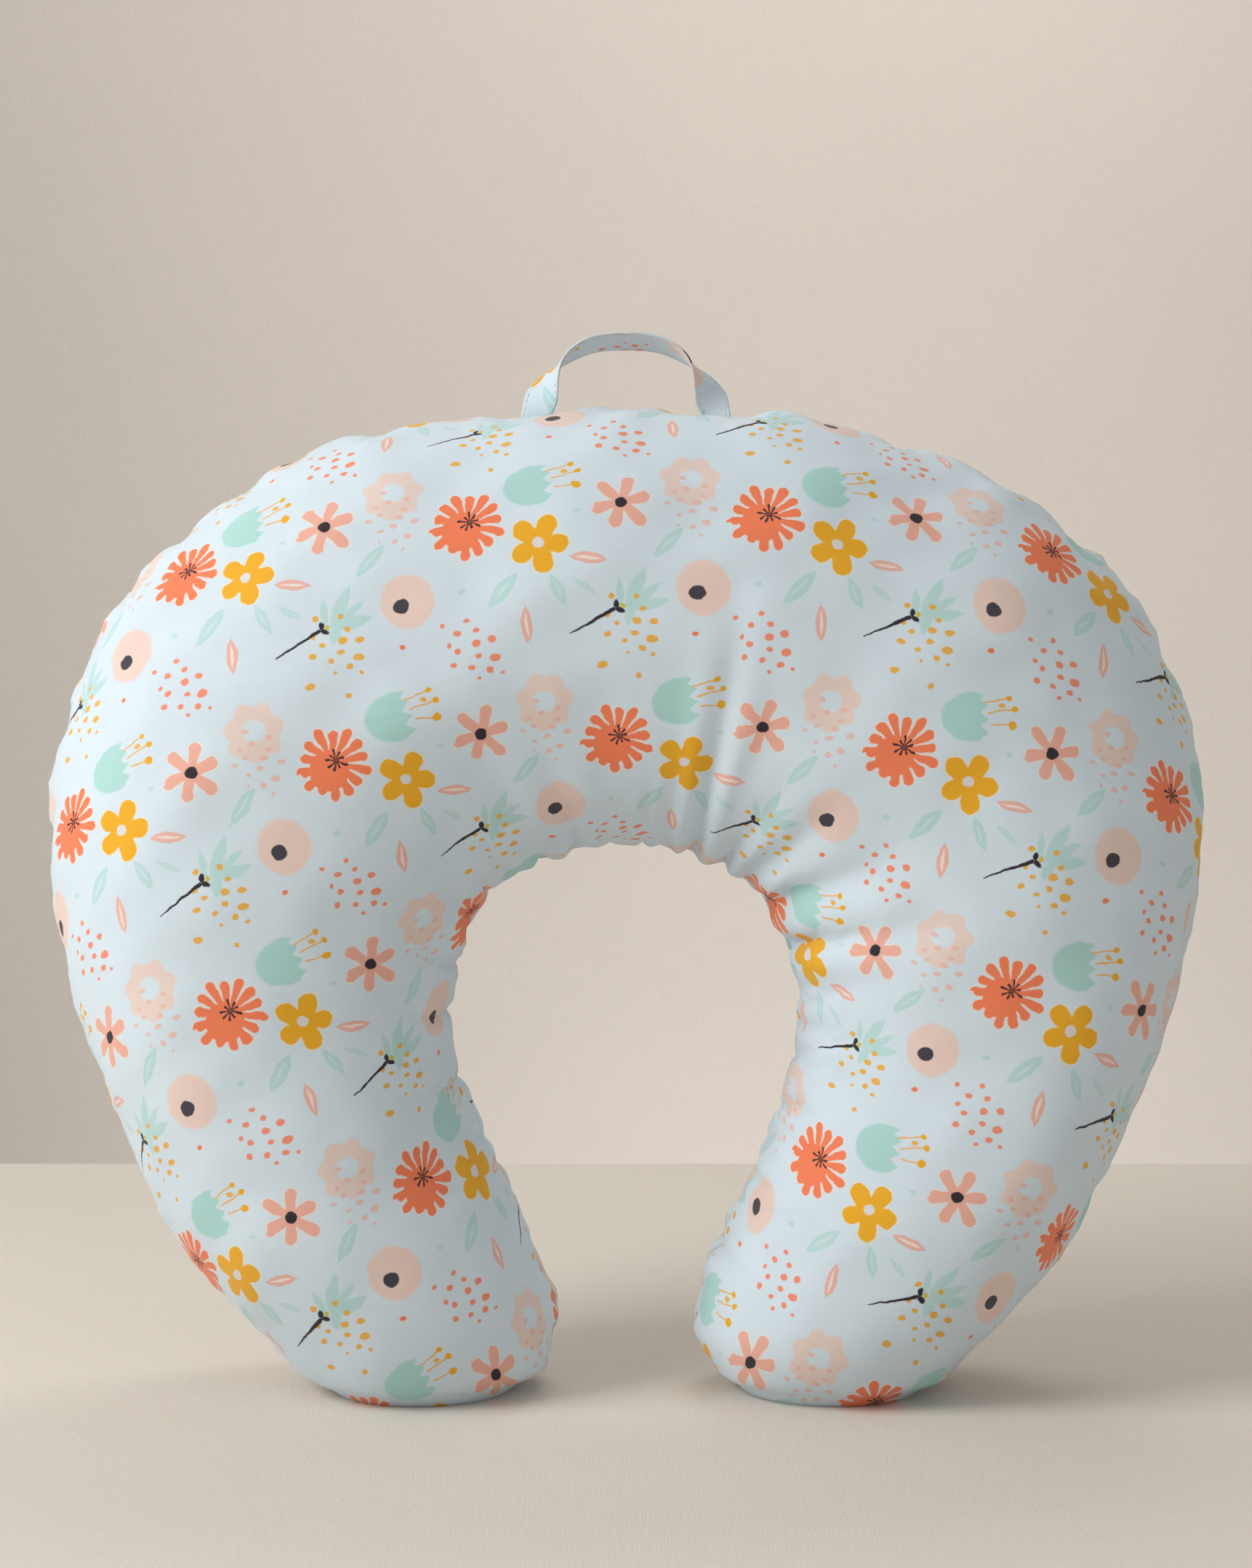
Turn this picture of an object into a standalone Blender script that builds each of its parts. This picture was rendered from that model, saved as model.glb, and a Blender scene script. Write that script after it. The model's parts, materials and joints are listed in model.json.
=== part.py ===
"""Horseshoe nursing pillow: a zipped printed cover with a sewn handle, over an inner pillow.

Metres, +Z up, front towards -Y.  The pillow stands on its two feet.  The origin is on the
surface that the feet stand on, midway between them and midway through the thickness.

Every soft piece is the same body surface, set inwards by a depth of its own: the cover, then
the inner pillow's lining, then its filling.  A point on that surface has a station, which runs
from the left foot's tip over the crown to the right foot's tip, and a section angle, which runs
from the inner seam (0) over the front or the back ridge (90) to the outer seam (180 degrees).
"""

import math

import bmesh
import bpy
import numpy as np

# ---- Driving dimensions: the pillow ------------------------------------
PILLOW_WIDTH = 0.560          # across the widest part of the arms
PILLOW_HEIGHT = 0.4805        # from the feet to the top seam
THICKNESS = 0.175             # from the front face to the zip's bail
ARCH_HALF_WIDTH = 0.0885      # half of the waist opening's width
ARCH_TOP_HEIGHT = 0.270       # the waist opening's crown above the feet
ARCH_CENTRE_HEIGHT = 0.186    # where the waist opening is widest
RIDGE_RADIUS = 0.190          # the back ridge round the arch centre, which carries the zip
SECTION_POWER = 2.15          # a section's superellipse: 2 is an ellipse, more is boxier

# ---- Driving dimensions: the soft layers -------------------------------
COVER_WALL = 0.0010
LINING_WALL = 0.0006
LAYER_GAP = 0.0003            # between two layers, and between two pieces that meet

# ---- Driving dimensions: the zip ---------------------------------------
ZIP_HALF_ANGLE = math.radians(58.0)   # from the crown to each end of the coils
ZIP_TAPER_ANGLE = math.radians(4.0)   # over which the slit closes past the coils
SLIT_CLEARANCE = 0.0013       # from the slider's side to a back panel's folded edge
TAPE_OVERLAP = 0.0050         # how far a tape goes under a back panel
TAPE_WALL = 0.0005
COIL_WIDTH = 0.0022
COIL_HEIGHT = 0.0016
COIL_HALF_SPACING = 0.0008    # from the ridge to a coil or to a tape's free edge
STOP_LENGTH = 0.0022
STOP_CLEARANCE = 0.0020       # from the closed slider to the coils' end
SLIDER_LENGTH = 0.0090
SLIDER_PLATE = 0.0009
SLIDER_ROOM = 0.0007          # from the slider's inner plate to the lining
SLIDER_FLANGE = 0.0004
SLIDER_POST_WIDTH = 0.0008
BAIL_BAR = 0.0008
BAIL_WIDTH = 0.0018
BAIL_HALF_LENGTH = 0.0036
TAB_LENGTH = 0.0200
TAB_WIDTH = 0.0054
TAB_WALL = 0.0010
TAB_BAR = 0.0012              # the tab's end bar, which turns under the bail
TAB_PLAY = 0.0009             # past the bail's leg, lengthways
TAB_SIDE_PLAY = 0.0004        # from the bail to the hole's side

# ---- Driving dimensions: the handle and the label ----------------------
HANDLE_RISE = 0.0385          # from the top seam to the strap's centre at its highest
HANDLE_HALF_SPAN = 0.0450     # from the middle to the centre of a sewn end
STRAP_WIDTH = 0.0190
STRAP_END_WIDTH = 0.0145      # where the strap is gathered into the seam
STRAP_WALL = 0.0016
FOOT_SHARE = 0.02             # of the rise, between the hinge line and the first twist
LABEL_WIDTH = 0.026
LABEL_LENGTH = 0.034
LABEL_WALL = 0.0004
LABEL_ANGLE = math.radians(-48.0)     # round the arch centre, on the left arm's back

# ---- The body's outline -------------------------------------------------
# One row for each section of the right half, from the crown to the foot's tip: the inner
# seam's place (x in arch half widths; z in arch rises above the arch centre, or below it in
# arch centre heights), the outer seam's (x in half widths, z in heights), the ridge's share
# of the way from the inner seam (None: on the ridge circle) and the share of the depth.
SECTIONS = (
    (0.000, 1.000, 0.000, 1.000, None, 1.00),
    (0.429, 0.935, 0.457, 0.973, None, 1.00),
    (0.774, 0.720, 0.773, 0.877, None, 1.00),
    (0.966, 0.333, 0.964, 0.724, None, 1.00),
    (1.000, -0.013, 1.000, 0.562, None, 1.00),
    (0.955, -0.161, 0.970, 0.433, None, 0.99),
    (0.836, -0.328, 0.896, 0.306, 0.58, 0.975),
    (0.667, -0.495, 0.809, 0.1915, 0.57, 0.95),
    (0.514, -0.661, 0.718, 0.1165, 0.55, 0.90),
    (0.435, -0.812, 0.627, 0.0645, 0.53, 0.80),
    (0.497, -0.914, 0.557, 0.0229, 0.52, 0.66),
    (0.701, -1.011, 0.471, -0.0104, 0.51, 0.42),
    (1.085, -1.059, 0.343, -0.0229, 0.50, 0.00),
)
STEPS_IN_ROW = (3, 3, 3, 3, 1, 1, 1, 1, 1, 2, 2, 2)   # stations from each row to the next
STEPS_IN_QUARTER = 6          # cells from a seam to a ridge
FINE = 1e-4                   # step of the numerical slopes, in metres or radians


# ---- Scene helpers -------------------------------------------------------
def clear_scene():
    for item in list(bpy.data.objects):
        bpy.data.objects.remove(item, do_unlink=True)


def material(name, colour, roughness, metallic=0.0):
    """A Principled BSDF of one colour."""
    made = bpy.data.materials.new(name)
    made.use_nodes = True
    shader = made.node_tree.nodes["Principled BSDF"]
    shader.inputs["Base Color"].default_value = (*colour, 1.0)
    shader.inputs["Roughness"].default_value = roughness
    shader.inputs["Metallic"].default_value = metallic
    return made


def add_object(name, vertices, faces, finish, smooth=True):
    """Make one closed body from points and faces, with its faces pointing out."""
    mesh = bpy.data.meshes.new(name)
    mesh.from_pydata([tuple(point) for point in vertices], [], faces)
    shell = bmesh.new()
    shell.from_mesh(mesh)
    bmesh.ops.remove_doubles(shell, verts=shell.verts, dist=1e-6)
    bmesh.ops.recalc_face_normals(shell, faces=shell.faces)
    shell.to_mesh(mesh)
    shell.free()
    mesh.materials.append(finish)
    if smooth:
        mesh.shade_smooth()
        mesh.set_sharp_from_angle(angle=math.radians(40.0))
    made = bpy.data.objects.new(name, mesh)
    bpy.context.collection.objects.link(made)
    return made


def strip_faces(first, second):
    """Quads between two equally long rows of point numbers."""
    return [(first[i], first[i + 1], second[i + 1], second[i]) for i in range(len(first) - 1)]


def grid_triangles(number):
    """Triangles over a grid of point numbers, all cut on the same diagonal, so that one
    layer's faces lie along those of the next."""
    corner, right = number[:-1, :-1].ravel(), number[:-1, 1:].ravel()
    below, across = number[1:, :-1].ravel(), number[1:, 1:].ravel()
    triangles = np.vstack((np.column_stack((corner, right, across)),
                           np.column_stack((corner, across, below))))
    return [tuple(row) for row in triangles.tolist()]


# ---- The body surface ----------------------------------------------------
def natural_spline(knots, values, wanted):
    """Cubic spline with free ends through values at knots, read at the wanted places."""
    span = np.diff(knots)
    count = len(knots)
    matrix = np.eye(count)
    bend = np.zeros((count, values.shape[1]))
    for i in range(1, count - 1):
        matrix[i, i - 1:i + 2] = span[i - 1], 2.0 * (span[i - 1] + span[i]), span[i]
        bend[i] = 6.0 * ((values[i + 1] - values[i]) / span[i]
                         - (values[i] - values[i - 1]) / span[i - 1])
    second = np.linalg.solve(matrix, bend)
    k = np.clip(np.searchsorted(knots, wanted) - 1, 0, count - 2)
    left = ((knots[k + 1] - wanted) / span[k])[:, None]
    right = 1.0 - left
    curve = left * values[k] + right * values[k + 1]
    lift = (left ** 3 - left) * second[k] + (right ** 3 - right) * second[k + 1]
    return curve + lift * (span[k] ** 2)[:, None] / 6.0


def section_row(row):
    """One row of SECTIONS in metres: inner x, z, outer x, z, ridge x, z, depth share."""
    inner_x, inner_z, outer_x, outer_z, share, depth = row
    rise = ARCH_TOP_HEIGHT - ARCH_CENTRE_HEIGHT if inner_z > 0.0 else ARCH_CENTRE_HEIGHT
    inner = np.array((inner_x * ARCH_HALF_WIDTH, ARCH_CENTRE_HEIGHT + inner_z * rise))
    outer = np.array((0.5 * outer_x * PILLOW_WIDTH, outer_z * PILLOW_HEIGHT))
    if depth == 0.0:
        inner = outer = 0.5 * (inner + outer)
    if share is None:
        start = inner - (0.0, ARCH_CENTRE_HEIGHT)
        way = outer - inner
        a, b = way @ way, start @ way
        c = start @ start - RIDGE_RADIUS ** 2
        share = (-b + math.sqrt(b * b - a * c)) / a
    ridge = inner + share * (outer - inner)
    return (*inner, *outer, *ridge, depth)


def section_table():
    """All sections from the left tip to the right tip, with the distance along the body."""
    half = np.array([section_row(row) for row in SECTIONS])
    mirrored = half[:0:-1] * (-1.0, 1.0, -1.0, 1.0, -1.0, 1.0, 1.0)
    table = np.vstack((mirrored, half))
    move = np.diff(table, axis=0)
    stride = np.sqrt(np.hypot(move[:, 0], move[:, 1]) * np.hypot(move[:, 2], move[:, 3]))
    along = np.concatenate(((0.0,), np.cumsum(stride)))
    return along - 0.5 * along[-1], table


ALONG, TABLE = section_table()

# ---- Worked out from the driving dimensions -------------------------------
def tape_fall():
    """How far a back panel's flat first cell falls below the ridge at the tape's hidden edge."""
    rows = np.array([section_row(row) for row in SECTIONS if row[4] is None])
    seams = np.vstack((rows[:, 0:2], rows[:, 2:4]))
    narrow = np.linalg.norm(seams - np.vstack((rows[:, 4:6],) * 2), axis=1).min()
    turn = 0.5 * math.pi / STEPS_IN_QUARTER
    power = 2.0 / SECTION_POWER
    width = narrow * math.sin(turn) ** power - SLIT_HALF_WIDTH
    return 0.5 * THICKNESS * (1.0 - math.cos(turn) ** power) * TAPE_OVERLAP / width


SLIDER_WIDTH = 2.0 * (COIL_HALF_SPACING + COIL_WIDTH + LAYER_GAP + SLIDER_FLANGE)
SLIT_HALF_WIDTH = 0.5 * SLIDER_WIDTH + SLIT_CLEARANCE     # from the ridge to a folded edge
TAPE_OUTER_REACH = SLIT_HALF_WIDTH + TAPE_OVERLAP         # from the ridge to a hidden edge
TAPE_DEPTH = COVER_WALL + LAYER_GAP + tape_fall()         # a tape's face, below the ridge
PLATE_DEPTH = TAPE_DEPTH + TAPE_WALL + LAYER_GAP          # the slider's inner plate
ZIP_HOLLOW = PLATE_DEPTH + SLIDER_PLATE + SLIDER_ROOM - COVER_WALL - LAYER_GAP
BAIL_ROOM = math.hypot(TAB_BAR, TAB_WALL) + 2.0 * LAYER_GAP
COIL_TOP = COIL_HEIGHT - TAPE_DEPTH + LAYER_GAP           # above the ridge
PLATE_TOP = COIL_TOP + LAYER_GAP + SLIDER_PLATE           # the slider's outer face
FRONT_DEPTH = 0.5 * THICKNESS - 0.5 * LAYER_GAP
RIDGE_Y = 0.5 * THICKNESS - PLATE_TOP - BAIL_ROOM - BAIL_BAR
BACK_DEPTH = RIDGE_Y - 0.5 * LAYER_GAP
SLIDER_REST_ANGLE = ZIP_HALF_ANGLE - (0.5 * SLIDER_LENGTH + STOP_CLEARANCE) / RIDGE_RADIUS



def ridge_angle(station):
    """Angle of the ridge round the arch centre, from +Z towards +X."""
    ridge = natural_spline(ALONG, TABLE, np.atleast_1d(station))[:, 4:6]
    return np.arctan2(ridge[:, 0], ridge[:, 1] - ARCH_CENTRE_HEIGHT)


def station_at(angle):
    """Station whose ridge point lies at this angle round the arch centre."""
    dense = np.linspace(ALONG[4], ALONG[-5], 400)
    return float(np.interp(angle, ridge_angle(dense), dense))


def body_points(station, angle):
    """Points of the body surface; a negative section angle is on the front, positive on the back."""
    rows = natural_spline(ALONG, TABLE, station.ravel())
    inner, outer, ridge = rows[:, 0:2], rows[:, 2:4], rows[:, 4:6]
    share = np.minimum(rows[:, 6], 1.0)
    turn = angle.ravel()
    cosine, sine = np.cos(turn), np.sin(turn)
    power = 2.0 / SECTION_POWER
    across = np.sign(cosine) * np.abs(cosine) ** power
    out = np.sign(sine) * np.abs(sine) ** power
    seam = np.where((cosine > 0.0)[:, None], inner, outer)
    place = ridge + np.abs(across)[:, None] * (seam - ridge)
    depth = np.where(sine < 0.0, FRONT_DEPTH, BACK_DEPTH) * share
    y = depth * out + 0.5 * LAYER_GAP * np.sign(np.round(sine, 9))
    return np.column_stack((place[:, 0], y, place[:, 1])).reshape(station.shape + (3,))


def body_surface(stations, angles, depth):
    """Grid of points at a depth below the body surface, flat where the feet stand.

    The surface's slopes come from four neighbours of each point, and their cross product is
    the normal that the point is set in along.  At the two tips the normal is the body's own
    direction there.  Points below the floor are lifted to it.
    """
    station, angle = np.meshgrid(stations, angles, indexing="ij")
    inside = np.clip(station, ALONG[0] + FINE, ALONG[-1] - FINE)
    slope_u = body_points(inside + FINE, angle) - body_points(inside - FINE, angle)
    ahead = body_points(inside, angle + FINE)
    behind = body_points(inside, angle - FINE)
    gap_step = LAYER_GAP * (np.sin(angle + FINE) * np.sin(angle - FINE) < 0.0)
    slope_v = ahead - behind
    slope_v[..., 1] -= np.sign(slope_v[..., 1]) * gap_step
    normal = np.cross(slope_u, slope_v)
    tip = (station <= ALONG[0]) | (station >= ALONG[-1])
    normal[tip] = slope_u[tip] * np.sign(station[tip])[:, None]
    normal[tip, 1] = 0.0
    normal /= np.maximum(np.linalg.norm(normal, axis=-1, keepdims=True), 1e-12)
    place = body_points(station, angle)
    middle = natural_spline(ALONG, TABLE, station.ravel())[:, 4:6].reshape(station.shape + (2,))
    away = place - np.stack((middle[..., 0], 0.0 * station, middle[..., 1]), axis=-1)
    flip = np.sign(np.sum(normal * away, axis=-1, keepdims=True))
    normal *= np.where(tip[..., None] | (flip == 0.0), 1.0, flip)
    depth = np.broadcast_to(depth, station.shape)[..., None]
    place = place - depth * normal
    place[..., 2] = np.maximum(place[..., 2], depth[..., 0])
    return place


def body_stations():
    """Stations of the body's grid, with one at each end of the zip's slit."""
    half = len(SECTIONS) - 1
    steps = STEPS_IN_ROW[::-1] + STEPS_IN_ROW
    spots = [np.linspace(ALONG[i], ALONG[i + 1], steps[i], endpoint=False)
             for i in range(2 * half)]
    stations = np.append(np.concatenate(spots), ALONG[-1])
    ends = [station_at(side * angle) for side in (-1, 1)
            for angle in (ZIP_HALF_ANGLE + math.radians(1.5),
                          ZIP_HALF_ANGLE + math.radians(1.5) + ZIP_TAPER_ANGLE)]
    clear = np.min(np.abs(stations[:, None] - np.array(ends)[None, :]), axis=1) > 0.006
    return np.sort(np.append(stations[clear], ends))


STATIONS = body_stations()


def section_angles(low, high):
    """Section angles from low to high, in degrees, evenly spaced."""
    cells = round(abs(high - low) / 90.0 * STEPS_IN_QUARTER)
    return np.radians(np.linspace(low, high, cells + 1))


def zip_hollow(stations, angles):
    """Extra depth of the lining and filling: greatest at the back ridge, none at the tips."""
    share = np.minimum(natural_spline(ALONG, TABLE, stations)[:, 6], 1.0)
    near = np.exp(-((angles - 0.5 * math.pi) / math.radians(12.0)) ** 2)
    return ZIP_HOLLOW * share[:, None] * near[None, :]


def panel(name, top, bottom, finish):
    """A sewn panel: the grid of its outer face, that of its inner face, and its edges."""
    rows, columns = top.shape[:2]
    count = rows * columns
    number = np.arange(count).reshape(rows, columns)
    faces = grid_triangles(number) + grid_triangles(number + count)
    for edge in (number[:, 0], number[:, -1], number[0], number[-1]):
        faces += strip_faces(edge.tolist(), (edge + count).tolist())
    points = np.vstack((top.reshape(-1, 3), bottom.reshape(-1, 3)))
    return add_object(name, points, faces_without_doubles(points, faces), finish)


def faces_without_doubles(points, faces):
    """Faces with coinciding corners merged, and those that shrink to a line left out."""
    keys = np.round(points * 1e7).astype(np.int64)
    _, first, back = np.unique(keys, axis=0, return_index=True, return_inverse=True)
    same = first[back.ravel()]
    kept = []
    for face in faces:
        corners = list(dict.fromkeys(int(same[i]) for i in face))
        if len(corners) > 2:
            kept.append(tuple(corners))
    return kept


# ---- Soft pieces ----------------------------------------------------------
def cover_front_panel(finish):
    angles = section_angles(-180.0, 0.0)
    panel("cover_front_panel", body_surface(STATIONS, angles, 0.0),
          body_surface(STATIONS, angles, COVER_WALL), finish)


def cover_back_panels(finish):
    """Two back panels that meet on the ridge, and part there for the zip."""
    angle = np.abs(ridge_angle(STATIONS))
    end = ZIP_HALF_ANGLE + math.radians(1.5)
    open_share = np.clip((end + ZIP_TAPER_ANGLE - angle) / ZIP_TAPER_ANGLE, 0.0, 1.0)
    half_gap = 0.5 * LAYER_GAP + (SLIT_HALF_WIDTH - 0.5 * LAYER_GAP) * open_share
    rows = natural_spline(ALONG, TABLE, STATIONS)
    across = rows[:, 2:4] - rows[:, 0:2]
    tips = np.linalg.norm(across, axis=1) < 1e-9
    across[tips] = (1.0, 0.0)
    across[tips] *= np.sign(STATIONS[tips])[:, None]
    across /= np.linalg.norm(across, axis=1, keepdims=True)
    for name, low, high, side in (("cover_back_inner_panel", 0.0, 90.0, -1.0),
                                  ("cover_back_outer_panel", 90.0, 180.0, 1.0)):
        angles = section_angles(low, high)
        edge = -1 if side < 0.0 else 0
        faces = []
        for depth in (0.0, COVER_WALL):
            grid = body_surface(STATIONS, angles, depth)
            shift = side * half_gap[:, None] * across
            grid[:, edge, 0] += shift[:, 0]
            grid[:, edge, 2] += shift[:, 1]
            for tip in (0, -1):
                grid[tip, :] = grid[tip, edge]
            grid[..., 2] = np.maximum(grid[..., 2], depth)
            faces.append(grid)
        panel(name, faces[0], faces[1], finish)


def lining_panels(finish):
    """The inner pillow's shell: a front and a back piece, sewn along the same seams."""
    depth = COVER_WALL + LAYER_GAP
    for name, angles in (("lining_front_panel", section_angles(-180.0, 0.0)),
                         ("lining_back_panel", section_angles(0.0, 180.0))):
        hollow = zip_hollow(STATIONS, angles)
        panel(name, body_surface(STATIONS, angles, depth + hollow),
              body_surface(STATIONS, angles, depth + hollow + LINING_WALL), finish)


def fibre_filling(finish):
    """The polyester fibre, as one closed body that fills the lining."""
    angles = section_angles(-180.0, 180.0)[:-1]
    depth = COVER_WALL + 2.0 * LAYER_GAP + LINING_WALL + zip_hollow(STATIONS, angles)
    grid = body_surface(STATIONS, angles, depth)
    seams = np.isclose(np.sin(angles), 0.0, atol=1e-9)
    grid[:, seams, 1] = 0.0
    for tip in (0, -1):
        grid[tip, :, :] = grid[tip].mean(axis=0)
    rows, columns = grid.shape[:2]
    number = np.arange(rows * columns).reshape(rows, columns)
    faces = grid_triangles(np.column_stack((number, number[:, 0])))
    points = grid.reshape(-1, 3)
    add_object("fibre_filling", points, faces_without_doubles(points, faces), finish)


def care_label(finish):
    """A blank woven label that lies on the back, with one edge in the outer seam."""
    middle = station_at(LABEL_ANGLE)
    stations = np.linspace(middle - 0.5 * LABEL_WIDTH, middle + 0.5 * LABEL_WIDTH, 4)
    start = math.radians(178.0)
    arm = np.linalg.norm(np.diff(body_points(np.full(40, middle), np.linspace(
        start, math.radians(100.0), 40)), axis=0), axis=1).cumsum()
    end = float(np.interp(LABEL_LENGTH, arm, np.linspace(start, math.radians(100.0), 40)[1:]))
    angles = np.linspace(start, end, 7)
    panel("care_label", body_surface(stations, angles, -LAYER_GAP - LABEL_WALL),
          body_surface(stations, angles, -LAYER_GAP), finish)


# ---- Handle ----------------------------------------------------------------
def handle_path():
    """Centre line of the right half, from the top down: x, z above the top seam, twist.

    The twist is the angle of the strap's width from +Y towards the outside of the arch: at
    the top the front edge stands higher, and at the sewn end the strap lies in the seam.
    """
    across, rise = HANDLE_HALF_SPAN, HANDLE_RISE
    return np.array((
        (0.00 * across, 1.00 * rise, -17.0),
        (0.39 * across, 0.95 * rise, -15.0),
        (0.73 * across, 0.69 * rise, 6.0),
        (0.90 * across, 0.37 * rise, 52.0),
        (1.00 * across, FOOT_SHARE * rise, 90.0),
    ))


def handle_root_height():
    """Height of the handle's hinge line: its rounded ends sit just clear of the crown."""
    inner_end = HANDLE_HALF_SPAN - 0.5 * STRAP_END_WIDTH
    dense = np.linspace(ALONG[8], 0.0, 200)
    seam = natural_spline(ALONG, TABLE, dense)[:, 2:4]
    crown = float(np.interp(-inner_end, seam[:, 0], seam[:, 1]))
    return crown + LAYER_GAP + 0.5 * STRAP_WALL


def handle_strap(finish):
    """A flat strap carried along the arch, with its two ends rounded about the hinge line."""
    half = handle_path()
    path = np.vstack((half[:0:-1] * (-1.0, 1.0, 1.0), half))
    step = np.linalg.norm(np.diff(path[:, :2], axis=0), axis=1)
    along = np.concatenate(((0.0,), np.cumsum(step)))
    root = 0.5 * STRAP_WALL
    inner = np.linspace(0.0, along[-1], 27)[1:-1]
    places = np.concatenate(((0.0,), inner, (along[-1],)))
    curve = natural_spline(along, path, places)
    slope = natural_spline(along, path, np.clip(places + FINE, 0.0, along[-1]))
    slope -= natural_spline(along, path, np.clip(places - FINE, 0.0, along[-1]))
    tangent = slope[:, :2] / np.linalg.norm(slope[:, :2], axis=1, keepdims=True)
    tangent[0], tangent[-1] = (0.0, 1.0), (0.0, -1.0)
    # Two extra rows at each end follow a half circle of the strap's thickness below the hinge.
    turns = np.radians((85.0, 45.0))
    thin = np.concatenate((np.cos(turns), np.ones(len(places)), np.cos(turns[::-1])))
    drop = root * np.sin(turns)
    lower = np.concatenate((drop, np.zeros(len(places)), drop[::-1]))
    pick = np.concatenate(((0, 0), np.arange(len(places)), (len(places) - 1,) * 2))
    curve, tangent = curve[pick], tangent[pick]
    outward = np.column_stack((-tangent[:, 1], tangent[:, 0]))
    twist = np.radians(curve[:, 2])
    width_way = np.column_stack((np.sin(twist) * outward[:, 0], np.cos(twist),
                                 np.sin(twist) * outward[:, 1]))
    tangent3 = np.column_stack((tangent[:, 0], 0.0 * twist, tangent[:, 1]))
    wall_way = np.cross(tangent3, width_way)
    root_share = np.clip(curve[:, 1] / (0.30 * HANDLE_RISE), 0.0, 1.0)
    root_share = root_share * root_share * (3.0 - 2.0 * root_share)
    width = STRAP_END_WIDTH + (STRAP_WIDTH - STRAP_END_WIDTH) * root_share
    height = curve[:, 1] - FOOT_SHARE * HANDLE_RISE - lower
    centre = np.column_stack((curve[:, 0], 0.0 * twist, height))
    corners = [centre + 0.5 * a * width[:, None] * width_way
               + 0.5 * b * STRAP_WALL * thin[:, None] * wall_way
               for a, b in ((-1, -1), (1, -1), (1, 1), (-1, 1))]
    strap = sweep("handle_strap", np.stack(corners, axis=1), finish)
    strap.location = (0.0, 0.0, handle_root_height())


def sweep(name, loops, finish, smooth=True):
    """A closed body from a row of equal loops of corners, with a flat cap at each end."""
    rows, sides = loops.shape[:2]
    number = np.arange(rows * sides).reshape(rows, sides)
    ring = np.column_stack((number, number[:, 0]))
    faces = [tuple(number[0].tolist()), tuple(number[-1].tolist())]
    for i in range(rows - 1):
        faces += strip_faces(ring[i].tolist(), ring[i + 1].tolist())
    return add_object(name, loops.reshape(-1, 3), faces, finish, smooth)


# ---- Zip ---------------------------------------------------------------------
def arc_bar(name, radii, depths, angles, steps, finish):
    """A bar of rectangular section bent round the arch centre, on the back."""
    turn = np.linspace(angles[0], angles[1], steps + 1)
    corners = []
    for radius, depth in ((radii[0], depths[0]), (radii[1], depths[0]),
                          (radii[1], depths[1]), (radii[0], depths[1])):
        corners.append(np.column_stack((
            radius * np.sin(turn), np.full_like(turn, RIDGE_Y - depth),
            ARCH_CENTRE_HEIGHT + radius * np.cos(turn))))
    sweep(name, np.stack(corners, axis=1), finish)


def prism(name, outline, low, high, plane, finish):
    """An outline of (across, up) points, extruded; plane gives the axes' order."""
    loops = []
    for end in (low, high):
        loop = np.zeros((len(outline), 3))
        loop[:, plane[0]] = [point[0] for point in outline]
        loop[:, plane[1]] = [point[1] for point in outline]
        loop[:, 3 - plane[0] - plane[1]] = end
        loops.append(loop)
    return sweep(name, np.stack(loops), finish, smooth=False)


def mirrored(half):
    """A closed outline from its right half, given from the top down."""
    return list(half) + [(-x, y) for x, y in reversed(half)]


def zip_tapes_and_coils(tape, coil):
    reach = ZIP_HALF_ANGLE + math.radians(1.2)
    coil_depths = (TAPE_DEPTH - LAYER_GAP, -COIL_TOP)
    for name, side in (("inner", -1.0), ("outer", 1.0)):
        radii = [RIDGE_RADIUS + side * reach_from_ridge for reach_from_ridge in
                 (COIL_HALF_SPACING, TAPE_OUTER_REACH, COIL_HALF_SPACING + COIL_WIDTH)]
        arc_bar("zip_tape_" + name, radii[:2], (TAPE_DEPTH + TAPE_WALL, TAPE_DEPTH),
                (-reach, reach), 34, tape)
        arc_bar("zip_coil_" + name, (radii[0], radii[2]), coil_depths,
                (-ZIP_HALF_ANGLE, ZIP_HALF_ANGLE), 34, coil)
    gap = LAYER_GAP / RIDGE_RADIUS
    length = STOP_LENGTH / RIDGE_RADIUS
    across = COIL_HALF_SPACING + COIL_WIDTH
    for name, side in (("zip_top_stop", 1.0), ("zip_bottom_stop", -1.0)):
        start = ZIP_HALF_ANGLE + gap
        arc_bar(name, (RIDGE_RADIUS - across, RIDGE_RADIUS + across), coil_depths,
                (side * start, side * (start + length)), 1, coil)


def zip_pivot():
    """Empty at the arch centre, turned so that its +Z points at the closed slider."""
    pivot = bpy.data.objects.new("zip_pivot", None)
    pivot.location = (0.0, RIDGE_Y, ARCH_CENTRE_HEIGHT)
    pivot.rotation_euler = (0.0, SLIDER_REST_ANGLE, 0.0)
    bpy.context.collection.objects.link(pivot)
    return pivot


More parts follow.
